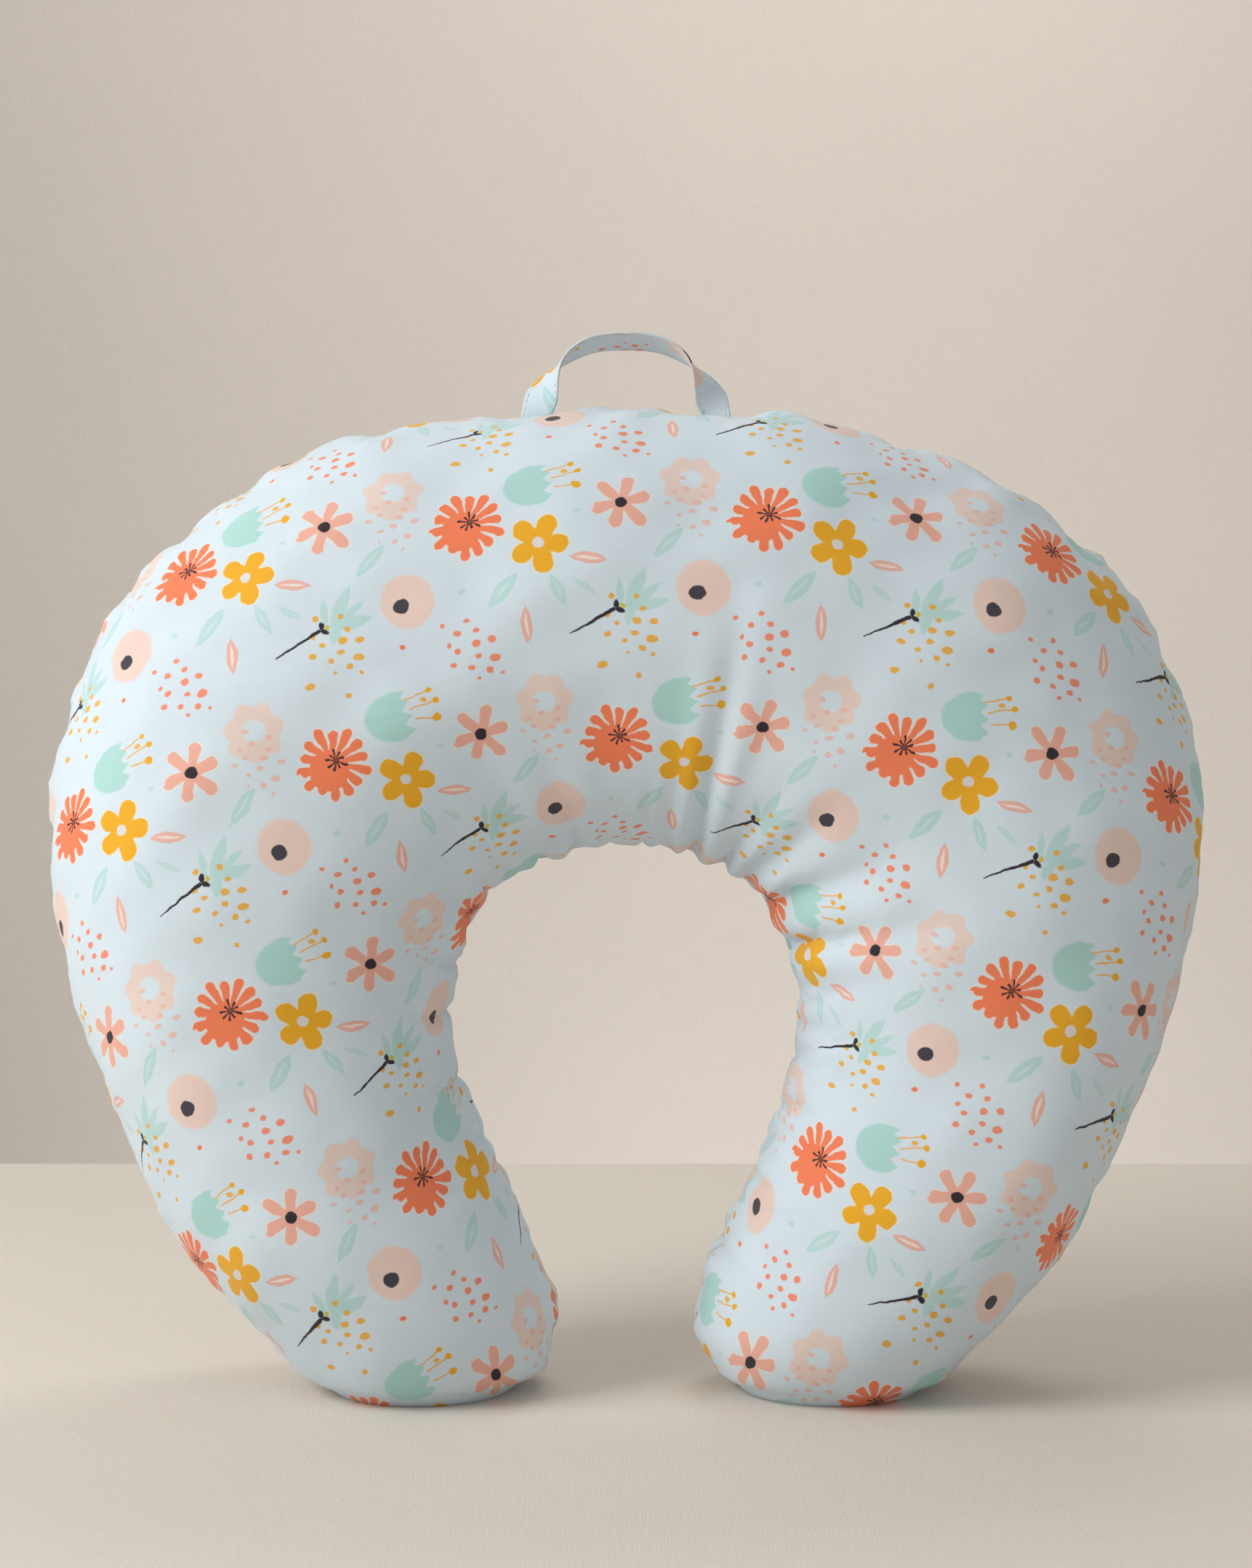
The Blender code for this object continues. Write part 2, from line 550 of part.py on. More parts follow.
def zip_slider(pivot, finish):
    """Two plates joined by a post between the coils, with a bail over the outer plate."""
    half = 0.5 * SLIDER_WIDTH
    post = 0.5 * SLIDER_POST_WIDTH
    plate_under = COIL_TOP + LAYER_GAP
    lower_top = -PLATE_DEPTH
    flange_end = -TAPE_DEPTH + LAYER_GAP
    right = [(half, PLATE_TOP), (half, flange_end), (half - SLIDER_FLANGE, flange_end),
             (half - SLIDER_FLANGE, plate_under), (post, plate_under), (post, lower_top),
             (half, lower_top), (half, lower_top - SLIDER_PLATE)]
    outline = [(RIDGE_RADIUS + x, y) for x, y in mirrored(right)]
    slider = prism("zip_slider", outline, -0.5 * SLIDER_LENGTH, 0.5 * SLIDER_LENGTH,
                   (2, 1), finish)
    legs = BAIL_HALF_LENGTH
    sunk = PLATE_TOP - 0.5 * SLIDER_PLATE
    top = PLATE_TOP + BAIL_ROOM
    arch = mirrored([(0.7 * legs, top + BAIL_BAR), (legs, top), (legs, sunk),
                     (legs - BAIL_BAR, sunk), (legs - BAIL_BAR, top - 0.3 * BAIL_BAR),
                     (0.6 * legs, top)])
    bail = prism("zip_bail_cutter", arch, RIDGE_RADIUS - 0.5 * BAIL_WIDTH,
                 RIDGE_RADIUS + 0.5 * BAIL_WIDTH, (0, 1), finish)
    bail.hide_render = True
    bail.display_type = "WIRE"
    join = slider.modifiers.new("bail", "BOOLEAN")
    join.operation = "UNION"
    join.object = bail
    slider.parent = pivot
    bail.parent = pivot


def zip_pull_tab(pivot, finish):
    """A flat tab whose end bar lies under the bail, pointing down the arc."""
    half = 0.5 * TAB_WIDTH
    neck = 0.72 * half
    turns = np.radians(np.linspace(80.0, -80.0, 7))
    round_end = [(TAB_LENGTH - neck + neck * math.cos(a), half * math.sin(a)) for a in turns]
    start = -0.5 * TAB_BAR
    outline = [(start, half)] + round_end + [(start, -half)]
    tab = prism("zip_pull_tab", outline, -0.5 * TAB_WALL, 0.5 * TAB_WALL, (0, 2), finish)
    hole_start, hole_end = 0.5 * TAB_BAR, BAIL_HALF_LENGTH + TAB_PLAY
    side = 0.5 * BAIL_WIDTH + TAB_SIDE_PLAY
    hole = [(hole_start, side), (hole_end, side), (hole_end, -side), (hole_start, -side)]
    cutter = prism("zip_tab_hole_cutter", hole, -TAB_WALL, TAB_WALL, (0, 2), finish)
    cutter.hide_render = True
    cutter.display_type = "WIRE"
    cut = tab.modifiers.new("hole", "BOOLEAN")
    cut.operation = "DIFFERENCE"
    cut.object = cutter
    for item in (tab, cutter):
        item.parent = pivot
        item.location = (0.0, PLATE_TOP + 0.5 * BAIL_ROOM, RIDGE_RADIUS)


def main():
    clear_scene()
    printed = material("printed_cotton", (0.58, 0.73, 0.81), 0.85)
    lining = material("white_lining", (0.88, 0.87, 0.84), 0.90)
    fibre = material("polyester_fibre", (0.92, 0.92, 0.90), 0.95)
    tape = material("zip_tape", (0.72, 0.80, 0.84), 0.80)
    coil = material("zip_nylon", (0.80, 0.86, 0.88), 0.35)
    nickel = material("nickel", (0.70, 0.70, 0.69), 0.28, metallic=1.0)
    label = material("label_satin", (0.93, 0.92, 0.90), 0.55)
    cover_front_panel(printed)
    cover_back_panels(printed)
    lining_panels(lining)
    fibre_filling(fibre)
    care_label(label)
    handle_strap(printed)
    zip_tapes_and_coils(tape, coil)
    pivot = zip_pivot()
    zip_slider(pivot, nickel)
    zip_pull_tab(pivot, nickel)


main()
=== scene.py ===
"""Looks of a horseshoe nursing pillow: a printed cotton cover over a stuffed inner pillow.

Metres, +Z up, front towards -Y, the feet on the surface at Z = 0.  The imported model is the
fixed frame.  Every soft piece is worked out on one body surface: a station runs from the left
foot's tip over the crown to the right foot's tip, and a section angle runs from the inner seam
(0) over the front ridge (-90) or the back ridge (90) to the outer seam (180 degrees).
"""

import json
import math

import bpy
import numpy as np
from bpy.props import FloatProperty, FloatVectorProperty, IntProperty, PointerProperty
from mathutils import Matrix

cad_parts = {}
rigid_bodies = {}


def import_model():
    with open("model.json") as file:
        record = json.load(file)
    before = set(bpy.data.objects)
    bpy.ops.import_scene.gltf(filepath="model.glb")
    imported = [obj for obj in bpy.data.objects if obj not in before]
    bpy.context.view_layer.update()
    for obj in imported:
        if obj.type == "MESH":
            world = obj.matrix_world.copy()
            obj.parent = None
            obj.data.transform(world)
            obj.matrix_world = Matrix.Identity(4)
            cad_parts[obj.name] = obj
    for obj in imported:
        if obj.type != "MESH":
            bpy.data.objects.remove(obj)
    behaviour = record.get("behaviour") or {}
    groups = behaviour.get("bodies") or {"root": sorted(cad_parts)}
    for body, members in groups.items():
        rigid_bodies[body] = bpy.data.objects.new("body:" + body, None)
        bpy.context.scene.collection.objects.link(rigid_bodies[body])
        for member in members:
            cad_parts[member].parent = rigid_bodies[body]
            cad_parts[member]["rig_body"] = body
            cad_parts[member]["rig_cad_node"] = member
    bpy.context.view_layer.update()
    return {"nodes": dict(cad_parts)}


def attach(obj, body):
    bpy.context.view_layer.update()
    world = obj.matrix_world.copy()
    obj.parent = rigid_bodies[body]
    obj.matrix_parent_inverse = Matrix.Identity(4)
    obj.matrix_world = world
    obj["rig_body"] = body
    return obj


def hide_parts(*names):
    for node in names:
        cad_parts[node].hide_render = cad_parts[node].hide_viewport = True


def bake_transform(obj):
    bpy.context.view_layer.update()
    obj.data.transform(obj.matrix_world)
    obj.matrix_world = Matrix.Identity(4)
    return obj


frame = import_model()

bl_info = {
    "name": "Nursing Pillow",
    "version": (1, 0, 0),
    "blender": (4, 5, 0),
    "location": "3D View > Sidebar > Pillow",
    "description": "Makes a zipped, printed nursing pillow with a carrying handle",
    "category": "Add Mesh",
}

# ---- The body's outline, as the frame has it ------------------------------
HALF_WIDTH, HEIGHT = 0.280, 0.4805
ARCH_HALF_WIDTH, ARCH_TOP, ARCH_CENTRE = 0.0885, 0.270, 0.186
RIDGE_RADIUS, SECTION_POWER = 0.190, 2.15
FRONT_DEPTH, BACK_DEPTH = 0.08735, 0.08331
RIDGE_Y = 0.0834653            # the back ridge, from which the zip's depths are measured
# Inner seam (x in arch half widths; z in arch rises above the arch centre or its heights
# below), outer seam (in half widths and heights), ridge's share across (None: on the ridge
# circle), share of the depth; from the crown to the foot's tip.
SECTIONS = (
    (0.000, 1.000, 0.000, 1.000, None, 1.00), (0.429, 0.935, 0.457, 0.973, None, 1.00),
    (0.774, 0.720, 0.773, 0.877, None, 1.00), (0.966, 0.333, 0.964, 0.724, None, 1.00),
    (1.000, -0.013, 1.000, 0.562, None, 1.00), (0.955, -0.161, 0.970, 0.433, None, 0.99),
    (0.836, -0.328, 0.896, 0.306, 0.58, 0.975), (0.667, -0.495, 0.809, 0.1915, 0.57, 0.95),
    (0.514, -0.661, 0.718, 0.1165, 0.55, 0.90), (0.435, -0.812, 0.627, 0.0645, 0.53, 0.80),
    (0.497, -0.914, 0.557, 0.0229, 0.52, 0.66), (0.701, -1.011, 0.471, -0.0104, 0.51, 0.42),
    (1.085, -1.059, 0.343, -0.0229, 0.50, 0.00),
)
ROWS, COLUMNS = 480, 192       # cells of the fine grid; the cloth is settled on half of each
SWELL_PASSES, SWELL_OUT, CREASE_GAIN = 160, 0.85, 1.25   # the settled movement's share that is kept
FRONT_RIDGE, INNER_SEAM, BACK_RIDGE = COLUMNS // 4, COLUMNS // 2, 3 * COLUMNS // 4

# ---- The zip, the handle and the label, as the frame has them ----------------
ZIP_HALF_ANGLE, ZIP_TAPER = math.radians(58.0), math.radians(4.0)
SLIT_HALF_WIDTH, TAPE_REACH, TAPE_DEPTH, TAPE_WALL = 0.0050, 0.0100, 0.0020274, 0.0005
COIL_HALF_SPACING, COIL_WIDTH, COIL_TOP, STOP_LENGTH = 0.0008, 0.0022, -0.0001274, 0.0022
ZIP_HOLLOW = 0.0031274
HANDLE_RISE, HANDLE_HALF_SPAN, HANDLE_ROOT = 0.0385, 0.0450, 0.48097
STRAP_WIDTH, STRAP_END_WIDTH, STRAP_WALL = 0.0190, 0.0145, 0.0016
LABEL_ANGLE, LABEL_WIDTH, LABEL_LENGTH = math.radians(-48.0), 0.026, 0.034


# ---- Settings -------------------------------------------------------------------
def length(name, text, value):
    """A size in metres for the sidebar."""
    return FloatProperty(name=name, description=text, default=value, unit="LENGTH", precision=5)


def colour(name, text, value):
    """A linear colour for the sidebar."""
    return FloatVectorProperty(name=name, description=text, default=value, size=3,
                               subtype="COLOR", min=0.0, max=1.0)


class CoverSettings(bpy.types.PropertyGroup):
    """How the cloth sits on the filling."""
    wall: length("Wall", "Thickness of the cover's cloth", 0.0008)
    seam_dip: length("Seam dip", "Depth of the valley along a sewn seam", 0.0016)
    pucker: length("Seam pucker", "Height of the small gathers along the seams", 0.0011)
    lump: length("Lump", "Height of the filling's unevenness", 0.0010)
    settle_cap: length("Settle cap", "Most that settling may move the cloth", 0.0080)
    slack: FloatProperty(name="Slack", description="Extra cloth beside the seams, as a share",
                         default=0.09, min=0.0, max=0.2)
    pressure: FloatProperty(name="Pressure", description="How hard the filling pushes",
                            default=150.0, min=0.0, max=900.0)
    settle_frames: IntProperty(name="Settle frames", description="Length of the settling",
                               default=22, min=2, max=80)


class PrintSettings(bpy.types.PropertyGroup):
    """The printed cotton's repeat and inks."""
    repeat_across: FloatProperty(
        name="Repeat across", description="From one daisy to the next, in millimetres",
        default=149.0, min=20.0)
    repeat_down: FloatProperty(
        name="Repeat down", description="From one row to the next, in millimetres",
        default=116.0, min=20.0)
    scale: FloatProperty(
        name="Scale", description="Size of the motifs and the repeat, as a share",
        default=0.911, min=0.1, max=4.0)
    turning: FloatProperty(
        name="Turning", description="Share of the body's turning that the flat cut follows",
        default=0.86, min=0.0, max=1.0)
    ground: colour("Ground", "The cloth's pale blue", (0.635, 0.745, 0.825))
    coral: colour("Coral", "Daisies and dots", (0.850, 0.215, 0.100))
    yellow: colour("Yellow", "Five-petalled flowers and dots", (0.800, 0.410, 0.020))
    pink: colour("Pink", "Six-petalled flowers and leaves", (0.790, 0.420, 0.340))
    peach: colour("Peach", "Soft round flowers", (0.780, 0.600, 0.530))
    teal: colour("Teal", "Leaves and tulips", (0.395, 0.665, 0.640))
    ink: colour("Dark ink", "Centres and stems", (0.028, 0.022, 0.030))


class StageSettings(bpy.types.PropertyGroup):
    """Camera, table, wall and lights."""
    camera_distance: length("Camera distance", "From the camera to the middle of the pillow", 1.296)
    camera_height: length("Camera height", "Above the table", 0.2988)
    lens: FloatProperty(name="Lens", description="Focal length", default=59.9, unit="CAMERA")
    table_back: length("Table back", "From the pillow's middle to the table's back edge", 0.757)
    wall_back: length("Wall back", "From the pillow's middle to the wall", 2.15)
    key: FloatProperty(name="Key light", description="Power of the soft window light",
                       default=38.0, unit="POWER")
    fill: FloatProperty(name="Fill light", description="Strength of the room's light", default=0.42)
    wall: colour("Wall", "The wall's warm beige", (0.655, 0.605, 0.555))
    table: colour("Table", "The table's linen", (0.700, 0.655, 0.600))


# ---- Materials --------------------------------------------------------------------
class Strand:
    """One socket of a material.  Python's arithmetic on it adds Math nodes."""

    def __init__(self, finish, socket):
        self.finish, self.socket = finish, socket

    def maths(self, operation, *values):
        return self.finish.node("ShaderNodeMath", {"operation": operation}, dict(enumerate(values)))

    def __add__(self, other):
        return self.maths("ADD", self, other)

    __radd__ = __add__

    def __sub__(self, other):
        return self.maths("SUBTRACT", self, other)

    def __rsub__(self, other):
        return self.maths("SUBTRACT", other, self)

    def __mul__(self, other):
        return self.maths("MULTIPLY", self, other)

    __rmul__ = __mul__

    def __truediv__(self, other):
        return self.maths("DIVIDE", self, other)

    def __pow__(self, other):
        return self.maths("POWER", self, other)

    def __abs__(self):
        return self.maths("ABSOLUTE", self)

    def apply(self, operation, *others):
        """A Math operation that Python has no sign for, such as SINE or MINIMUM."""
        return self.maths(operation, self, *others)

    def clamped(self, low=0.0, high=1.0):
        return self.finish.node("ShaderNodeClamp", {}, {0: self, 1: low, 2: high})


class Finish:
    """A procedural material, and the ways its nodes are added."""

    def __init__(self, name, roughness=0.8, **fixed):
        self.material = bpy.data.materials.new(name)
        self.material.use_nodes = True
        self.tree = self.material.node_tree
        self.shader = self.tree.nodes["Principled BSDF"]
        self.feed("Roughness", roughness)
        for socket, value in fixed.items():
            label = socket.replace("_", " ").title().replace("Ior", "IOR")
            self.shader.inputs[label].default_value = value

    def node(self, kind, settings, inputs, output=0):
        """Add a node: its settings first, then the values or links of its sockets."""
        made = self.tree.nodes.new(kind)
        for name, value in settings.items():
            setattr(made, name, value)
        for key, value in inputs.items():
            if isinstance(value, Strand):
                self.tree.links.new(value.socket, made.inputs[key])
            else:
                made.inputs[key].default_value = value
        return Strand(self, made.outputs[output])

    def feed(self, socket, value):
        """Give a socket of the shader a value, a colour or a link."""
        if isinstance(value, Strand):
            self.tree.links.new(value.socket, self.shader.inputs[socket])
        else:
            self.shader.inputs[socket].default_value = value

    def mix(self, mask, under, over):
        """Colour over laid on colour under where mask is 1."""
        def paint(value):
            return value if isinstance(value, Strand) else (*value[:3], 1.0)
        return self.node("ShaderNodeMix", {"data_type": "RGBA"},
                         {0: mask, 6: paint(under), 7: paint(over)}, 2)

    def shade(self, paint, factor):
        """A colour times a value that varies over the surface."""
        grey = self.node("ShaderNodeCombineXYZ", {}, {0: factor, 1: factor, 2: factor})
        return self.node("ShaderNodeVectorMath", {"operation": "MULTIPLY"},
                         {0: paint if isinstance(paint, Strand) else paint[:3], 1: grey})

    def place(self):
        return self.node("ShaderNodeTexCoord", {}, {}, 3)

    def cloth_place(self, scale=1.0):
        """Millimetres on the flat cut, from the piece's UV map, over a print's scale."""
        flat = self.node("ShaderNodeUVMap", {"uv_map": "UVMap"}, {})
        return self.scaled(flat, 1000.0 / scale)

    def scaled(self, vector, factor):
        return self.node("ShaderNodeVectorMath", {"operation": "SCALE"}, {0: vector, 3: factor})

    def split(self, vector):
        """The x, y and z of a vector."""
        made = self.node("ShaderNodeSeparateXYZ", {}, {0: vector})
        return [Strand(self, output) for output in made.socket.node.outputs]

    def noise(self, place, scale, detail=2.0, roughness=0.5):
        return self.node("ShaderNodeTexNoise", {}, {
            "Vector": place, "Scale": scale, "Detail": detail, "Roughness": roughness})

    def bump(self, height, distance, strength=1.0):
        """Feed the shader's normal from a height between 0 and 1."""
        self.feed("Normal", self.node("ShaderNodeBump", {}, {
            "Strength": strength, "Distance": distance, "Height": height}))


def weave(finish, place, pitch):
    """A plain weave's height: over and under threads as crossed sine waves."""
    across, up, _ = finish.split(place)
    turn = 2.0 * math.pi / pitch
    warp, weft = (across * turn).apply("SINE"), (up * turn).apply("SINE")
    return warp * weft * 0.5 + 0.5


# ---- The print ------------------------------------------------------------------------
SOFT = 0.55                    # an ink edge's softness, in millimetres


def edge(inside, softness=SOFT):
    """A mask from a distance inside a shape's edge, in millimetres."""
    return (inside / softness + 0.5).clamped()


def at(finish, spot, centre, turn=0.0, size=(1.0, 1.0)):
    """A spot seen from a motif's centre, turned by degrees and measured in its size."""
    return finish.node("ShaderNodeMapping", {"vector_type": "TEXTURE"}, {
        "Vector": spot, "Location": (*centre, 0.0),
        "Rotation": (0.0, 0.0, math.radians(turn)), "Scale": (*size, 1.0)})


def reach(finish, vector):
    """A vector's length."""
    return finish.node("ShaderNodeVectorMath", {"operation": "LENGTH"}, {0: vector}, 1)


def inside_oval(finish, spot, centre, size, turn=0.0):
    """How far a spot is inside an ellipse: one minus the stretched distance, times its
    smaller radius."""
    return (1.0 - reach(finish, at(finish, spot, centre, turn, size))) * min(size)


def oval(finish, spot, centre, size, turn=0.0, softness=SOFT):
    """A filled ellipse."""
    return edge(inside_oval(finish, spot, centre, size, turn), softness)


def leaf(finish, spot, centre, size, turn, softness=SOFT):
    """A leaf between two parabolas: half width times (1 - x squared - |y|)."""
    x, y, _ = finish.split(at(finish, spot, centre, turn, size))
    return edge((1.0 - x * x - abs(y)) * size[1], softness)


def bar(finish, spot, start, end, radius, thicker=0.0):
    """A round-ended line from start to end, thicker by a radius at its end."""
    span = (end[0] - start[0], end[1] - start[1])
    middle = (0.5 * (start[0] + end[0]), 0.5 * (start[1] + end[1]))
    x, y, _ = finish.split(at(finish, spot, middle, math.degrees(math.atan2(span[1], span[0]))))
    long = math.hypot(*span)
    past = (abs(x) - 0.5 * long).apply("MAXIMUM", 0.0)
    inside = radius - (past * past + y * y).apply("SQRT")
    if thicker:
        inside = inside + (x / long + 0.5).clamped() * thicker
    return edge(inside)


def petals(finish, spot, centre, count, turn, near, far, width, vary=0.0):
    """How far a spot is inside petals round a centre: the polar angle folded into one sector,
    and there a round-ended bar from near to far whose half width grows from first to second."""
    local = at(finish, spot, centre, turn)
    x, y, _ = finish.split(local)
    radius, angle = reach(finish, local), y.apply("ARCTAN2", x)
    sector = (angle * (count / (2.0 * math.pi))).apply("ROUND")
    angle = angle - sector * (2.0 * math.pi / count)
    out, side = radius * angle.apply("COSINE"), radius * angle.apply("SINE")
    if vary:
        out = out * (1.0 + (sector * 2.4 + 0.7).apply("SINE") * vary)
    on = out.clamped(near, far)
    past = out - on
    wide = (on - near) * ((width[1] - width[0]) / (far - near)) + width[0]
    return wide - (past * past + side * side).apply("SQRT")


def rimmed(finish, under, inside, ink, rim):
    """An ink laid on, with the thin paler rim that a press leaves round it."""
    return finish.mix(edge(inside), finish.mix(edge(inside + 0.65) * 0.55, under, rim), ink)


def dots(finish, spot, centre, rows, softness=SOFT):
    """Many small ovals of one ink, each row (x, y, half width, half height)."""
    nearest = None
    for x, y, wide, high in rows:
        seen = finish.node("ShaderNodeVectorMath", {"operation": "MULTIPLY_ADD"}, {
            0: spot, 1: (1.0 / wide, 1.0 / high, 0.0),
            2: (-(centre[0] + x) / wide, -(centre[1] + y) / high, 0.0)})
        inside = (1.0 - reach(finish, seen)) * min(wide, high)
        nearest = inside if nearest is None else nearest.apply("MAXIMUM", inside)
    return edge(nearest, softness)


CORAL_DOTS = (
    (-14.7, 12.1, 1.5, 1.2), (-1.9, 14.4, 1.5, 1.2), (-7.1, 8.1, 1.9, 1.4), (2.5, 8.8, 1.7, 1.4),
    (-11.2, 2.2, 1.2, 1.3), (2.3, 2.2, 2.2, 1.8), (10.3, 4.1, 2.2, 1.7), (-7.2, -1.3, 1.7, 1.5),
    (3.1, -4.1, 1.9, 1.3), (11.5, -5.2, 2.8, 2.0), (-9.7, -7.9, 1.7, 1.6), (-0.6, -9.7, 1.7, 1.4),
    (8.8, -11.2, 1.9, 1.5), (3.0, -15.0, 1.2, 1.0), (15.1, -13.2, 1.2, 0.9))
YELLOW_DOTS = (
    (-11.3, 13.4, 1.7, 1.6), (-12.9, 3.9, 1.4, 1.3), (1.3, 13.1, 1.6, 1.4), (4.5, 6.4, 1.7, 1.4),
    (-8.6, -0.3, 1.5, 1.3), (1.8, 0.6, 2.3, 1.8), (10.3, 0.1, 2.4, 1.7), (-13.5, -5.7, 2.0, 1.5),
    (0.6, -5.3, 1.9, 1.4), (9.4, -8.5, 2.8, 1.9), (-5.0, -9.1, 1.5, 1.2), (4.5, -13.1, 1.8, 1.5),
    (-3.0, -15.2, 0.9, 0.9), (10.2, -16.1, 1.2, 1.0), (-16.0, -20.8, 2.6, 1.7),
    (2.7, -27.1, 1.5, 1.4))
PALE_DOTS = (
    (-4.4, 1.0, 1.8, 1.3), (7.2, -3.5, 1.7, 1.2), (-1.7, -5.2, 1.8, 1.3), (-8.0, -7.5, 1.3, 1.0),
    (6.2, -9.4, 1.7, 1.0), (-5.9, -12.1, 1.7, 1.1), (3.5, -13.5, 2.2, 1.3),
    (-11.9, -14.8, 1.7, 1.0), (11.4, -16.3, 2.3, 1.4), (0.9, -18.3, 2.1, 1.3),
    (-5.7, -20.6, 1.6, 1.0), (7.6, -24.3, 2.2, 1.6), (1.4, -26.8, 1.7, 1.4),
    (-6.3, -26.3, 0.9, 0.8), (5.4, -31.7, 1.1, 0.9))
DAISY, YELLOW_FLOWER, PINK_FLOWER = (0.0, 0.0), (36.0, -13.2), (76.8, 7.1)
RING_FLOWER, BLOB_FLOWER, TULIP = (-38.0, 21.5), (-31.0, -38.0), (31.0, 20.0)


def printed_cotton(settings, name="printed_cotton"):
    """Plain-woven cotton with a half-drop repeat of flowers, leaves and dots.

    The spot is wobbled a little by noise, so that the inks' edges look painted, and then
    wrapped into the repeat twice: once about the daisy, once about the six-petalled flower.
    """
    finish = Finish(name, sheen_weight=0.18, sheen_roughness=0.45, specular_ior_level=0.25)
    cloth = finish.cloth_place(settings.scale)
    wobble = finish.node("ShaderNodeTexNoise", {},
                         {"Vector": cloth, "Scale": 0.16, "Detail": 3.0}, 1)
    wobble = finish.node("ShaderNodeVectorMath", {"operation": "MULTIPLY_ADD"},
                         {0: wobble, 1: (2.6, 2.6, 0.0), 2: (-1.3, -1.3, 0.0)})
    painted = finish.node("ShaderNodeVectorMath", {"operation": "ADD"}, {0: cloth, 1: wobble})

    def lay(mask, over):
        """Print an ink over what is there."""
        nonlocal paint
        paint = finish.mix(mask, paint, over)

    def repeat(centre):
        """The spot wrapped into the half-drop cell about a centre."""
        across, up, _ = finish.split(painted)
        row = ((up - centre[1]) / settings.repeat_down).apply("ROUND")
        across = across - centre[0] - row * (0.5 * settings.repeat_across)
        along = (across / settings.repeat_across).apply("ROUND")
        return finish.node("ShaderNodeCombineXYZ", {}, {
            0: across - along * settings.repeat_across + centre[0],
            1: up - row * settings.repeat_down})

    ground, coral, yellow, pink, peach, teal, ink = (tuple(value) for value in (
        settings.ground, settings.coral, settings.yellow, settings.pink, settings.peach,
        settings.teal, settings.ink))
    pale_teal = tuple(0.80 * a + 0.20 * b for a, b in zip(teal, ground))
    rim = (0.86, 0.72, 0.60)
    tone = finish.noise(cloth, 0.035, 3.0)

    # About the daisy.
    spot = repeat((5.0, -10.0))
    blob = oval(finish, spot, BLOB_FLOWER, (13.6, 14.6), 20.0, 2.2)
    paint = finish.mix(blob * 0.94, ground, peach)
    round_it = at(finish, spot, RING_FLOWER, 10.0)
    ring_x, ring_y, _ = finish.split(round_it)
    lobes = (ring_y.apply("ARCTAN2", ring_x) * 7.0).apply("COSINE")
    ring = edge(lobes * 1.3 + 14.3 - reach(finish, round_it), 1.8)
    hole = oval(finish, spot, (RING_FLOWER[0], RING_FLOWER[1] + 0.6), (5.9, 5.6), 0.0, 1.6)
    lay(ring * (1.0 - hole) * 0.85, peach)
    lay(dots(finish, spot, RING_FLOWER, PALE_DOTS) * 0.75,
        tuple(0.75 * a + 0.25 * b for a, b in zip(pink, peach)))
    lay(oval(finish, spot, (BLOB_FLOWER[0] - 3.0, BLOB_FLOWER[1] - 2.6), (4.1, 3.9)),
        (0.055, 0.050, 0.065))
    lay(oval(finish, spot, (-3.2, -35.9), (1.9, 1.6)) * 0.8, pale_teal)
    for centre, size, turn, depth in (((17.4, -36.8), (11.5, 3.9), 49.0, 0.85),
                                      ((45.2, -38.1), (9.3, 2.9), -65.0, 0.80),
                                      ((58.7, -36.8), (7.2, 1.6), -35.0, 0.70)):
        lay(leaf(finish, spot, centre, size, turn) * depth, pale_teal)
        vein = leaf(finish, spot, centre, (size[0] * 0.62, size[1] * 0.20), turn)
        lay(vein * 0.75, ground)
    for centre, turn in (((60.6, -22.3), -8.0), ((28.8, -54.5), -88.0)):
        lay(leaf(finish, spot, centre, (9.6, 2.9), turn) * 0.88, pink)
        vein = leaf(finish, spot, centre, (6.6, 0.8), turn, 0.5)
        lay(vein * 0.75, tuple(0.5 + 0.5 * x for x in peach))
    cup = at(finish, spot, TULIP, 8.0)
    cup_x, cup_y, _ = finish.split(cup)
    body = reach(finish, at(finish, spot, (TULIP[0] + 2.6, TULIP[1]), 8.0, (15.6, 12.3)))
    teeth = abs((cup_y * 0.150 + 0.25).apply("FRACT") - 0.5) * 9.0 + 6.8
    tulip = edge((1.0 - body) * 12.3, 1.1) * edge(teeth - cup_x, 0.9)
    lay(tulip * 0.97, teal)
    for start, end, head in (((39.3, 27.7), (51.6, 31.6), 1.6), ((41.9, 22.8), (55.1, 26.7), 1.7),
                             ((43.9, 17.7), (54.6, 18.4), 2.3)):
        lay(bar(finish, spot, start, end, 0.42) * 0.85, yellow)
        lay(oval(finish, spot, end, (head, head * 0.9)), yellow)
    lay(oval(finish, spot, (48.4, 27.2), (1.9, 1.3)) * 0.9, yellow)
    flower = petals(finish, spot, YELLOW_FLOWER, 5, -6.0, 2.0, 10.4, (3.9, 5.0), 0.05)
    paint = rimmed(finish, paint, flower, yellow, (0.86, 0.74, 0.48))
    lay(oval(finish, spot, (YELLOW_FLOWER[0] - 0.4, YELLOW_FLOWER[1] + 0.4), (2.9, 2.8)),
        tuple(0.55 * a + 0.45 * b for a, b in zip(ground, peach)))
    daisy = petals(finish, spot, DAISY, 14, 8.0, 5.0, 15.8, (1.1, 2.55), 0.075)
    daisy = daisy.apply("MAXIMUM", inside_oval(finish, spot, (-2.9, -3.3), (10.0, 10.6)))
    paint = rimmed(finish, paint, daisy, coral, rim)
    stamens = petals(finish, spot, (1.2, 1.6), 9, 12.0, 1.2, 4.4, (0.28, 0.62), 0.22)
    lay(edge(stamens), ink)
    lay(oval(finish, spot, (1.2, 1.4), (1.6, 1.5)) * 0.75, ink)
    lay(oval(finish, spot, (-34.6, -61.5), (1.7, 1.3)), coral)

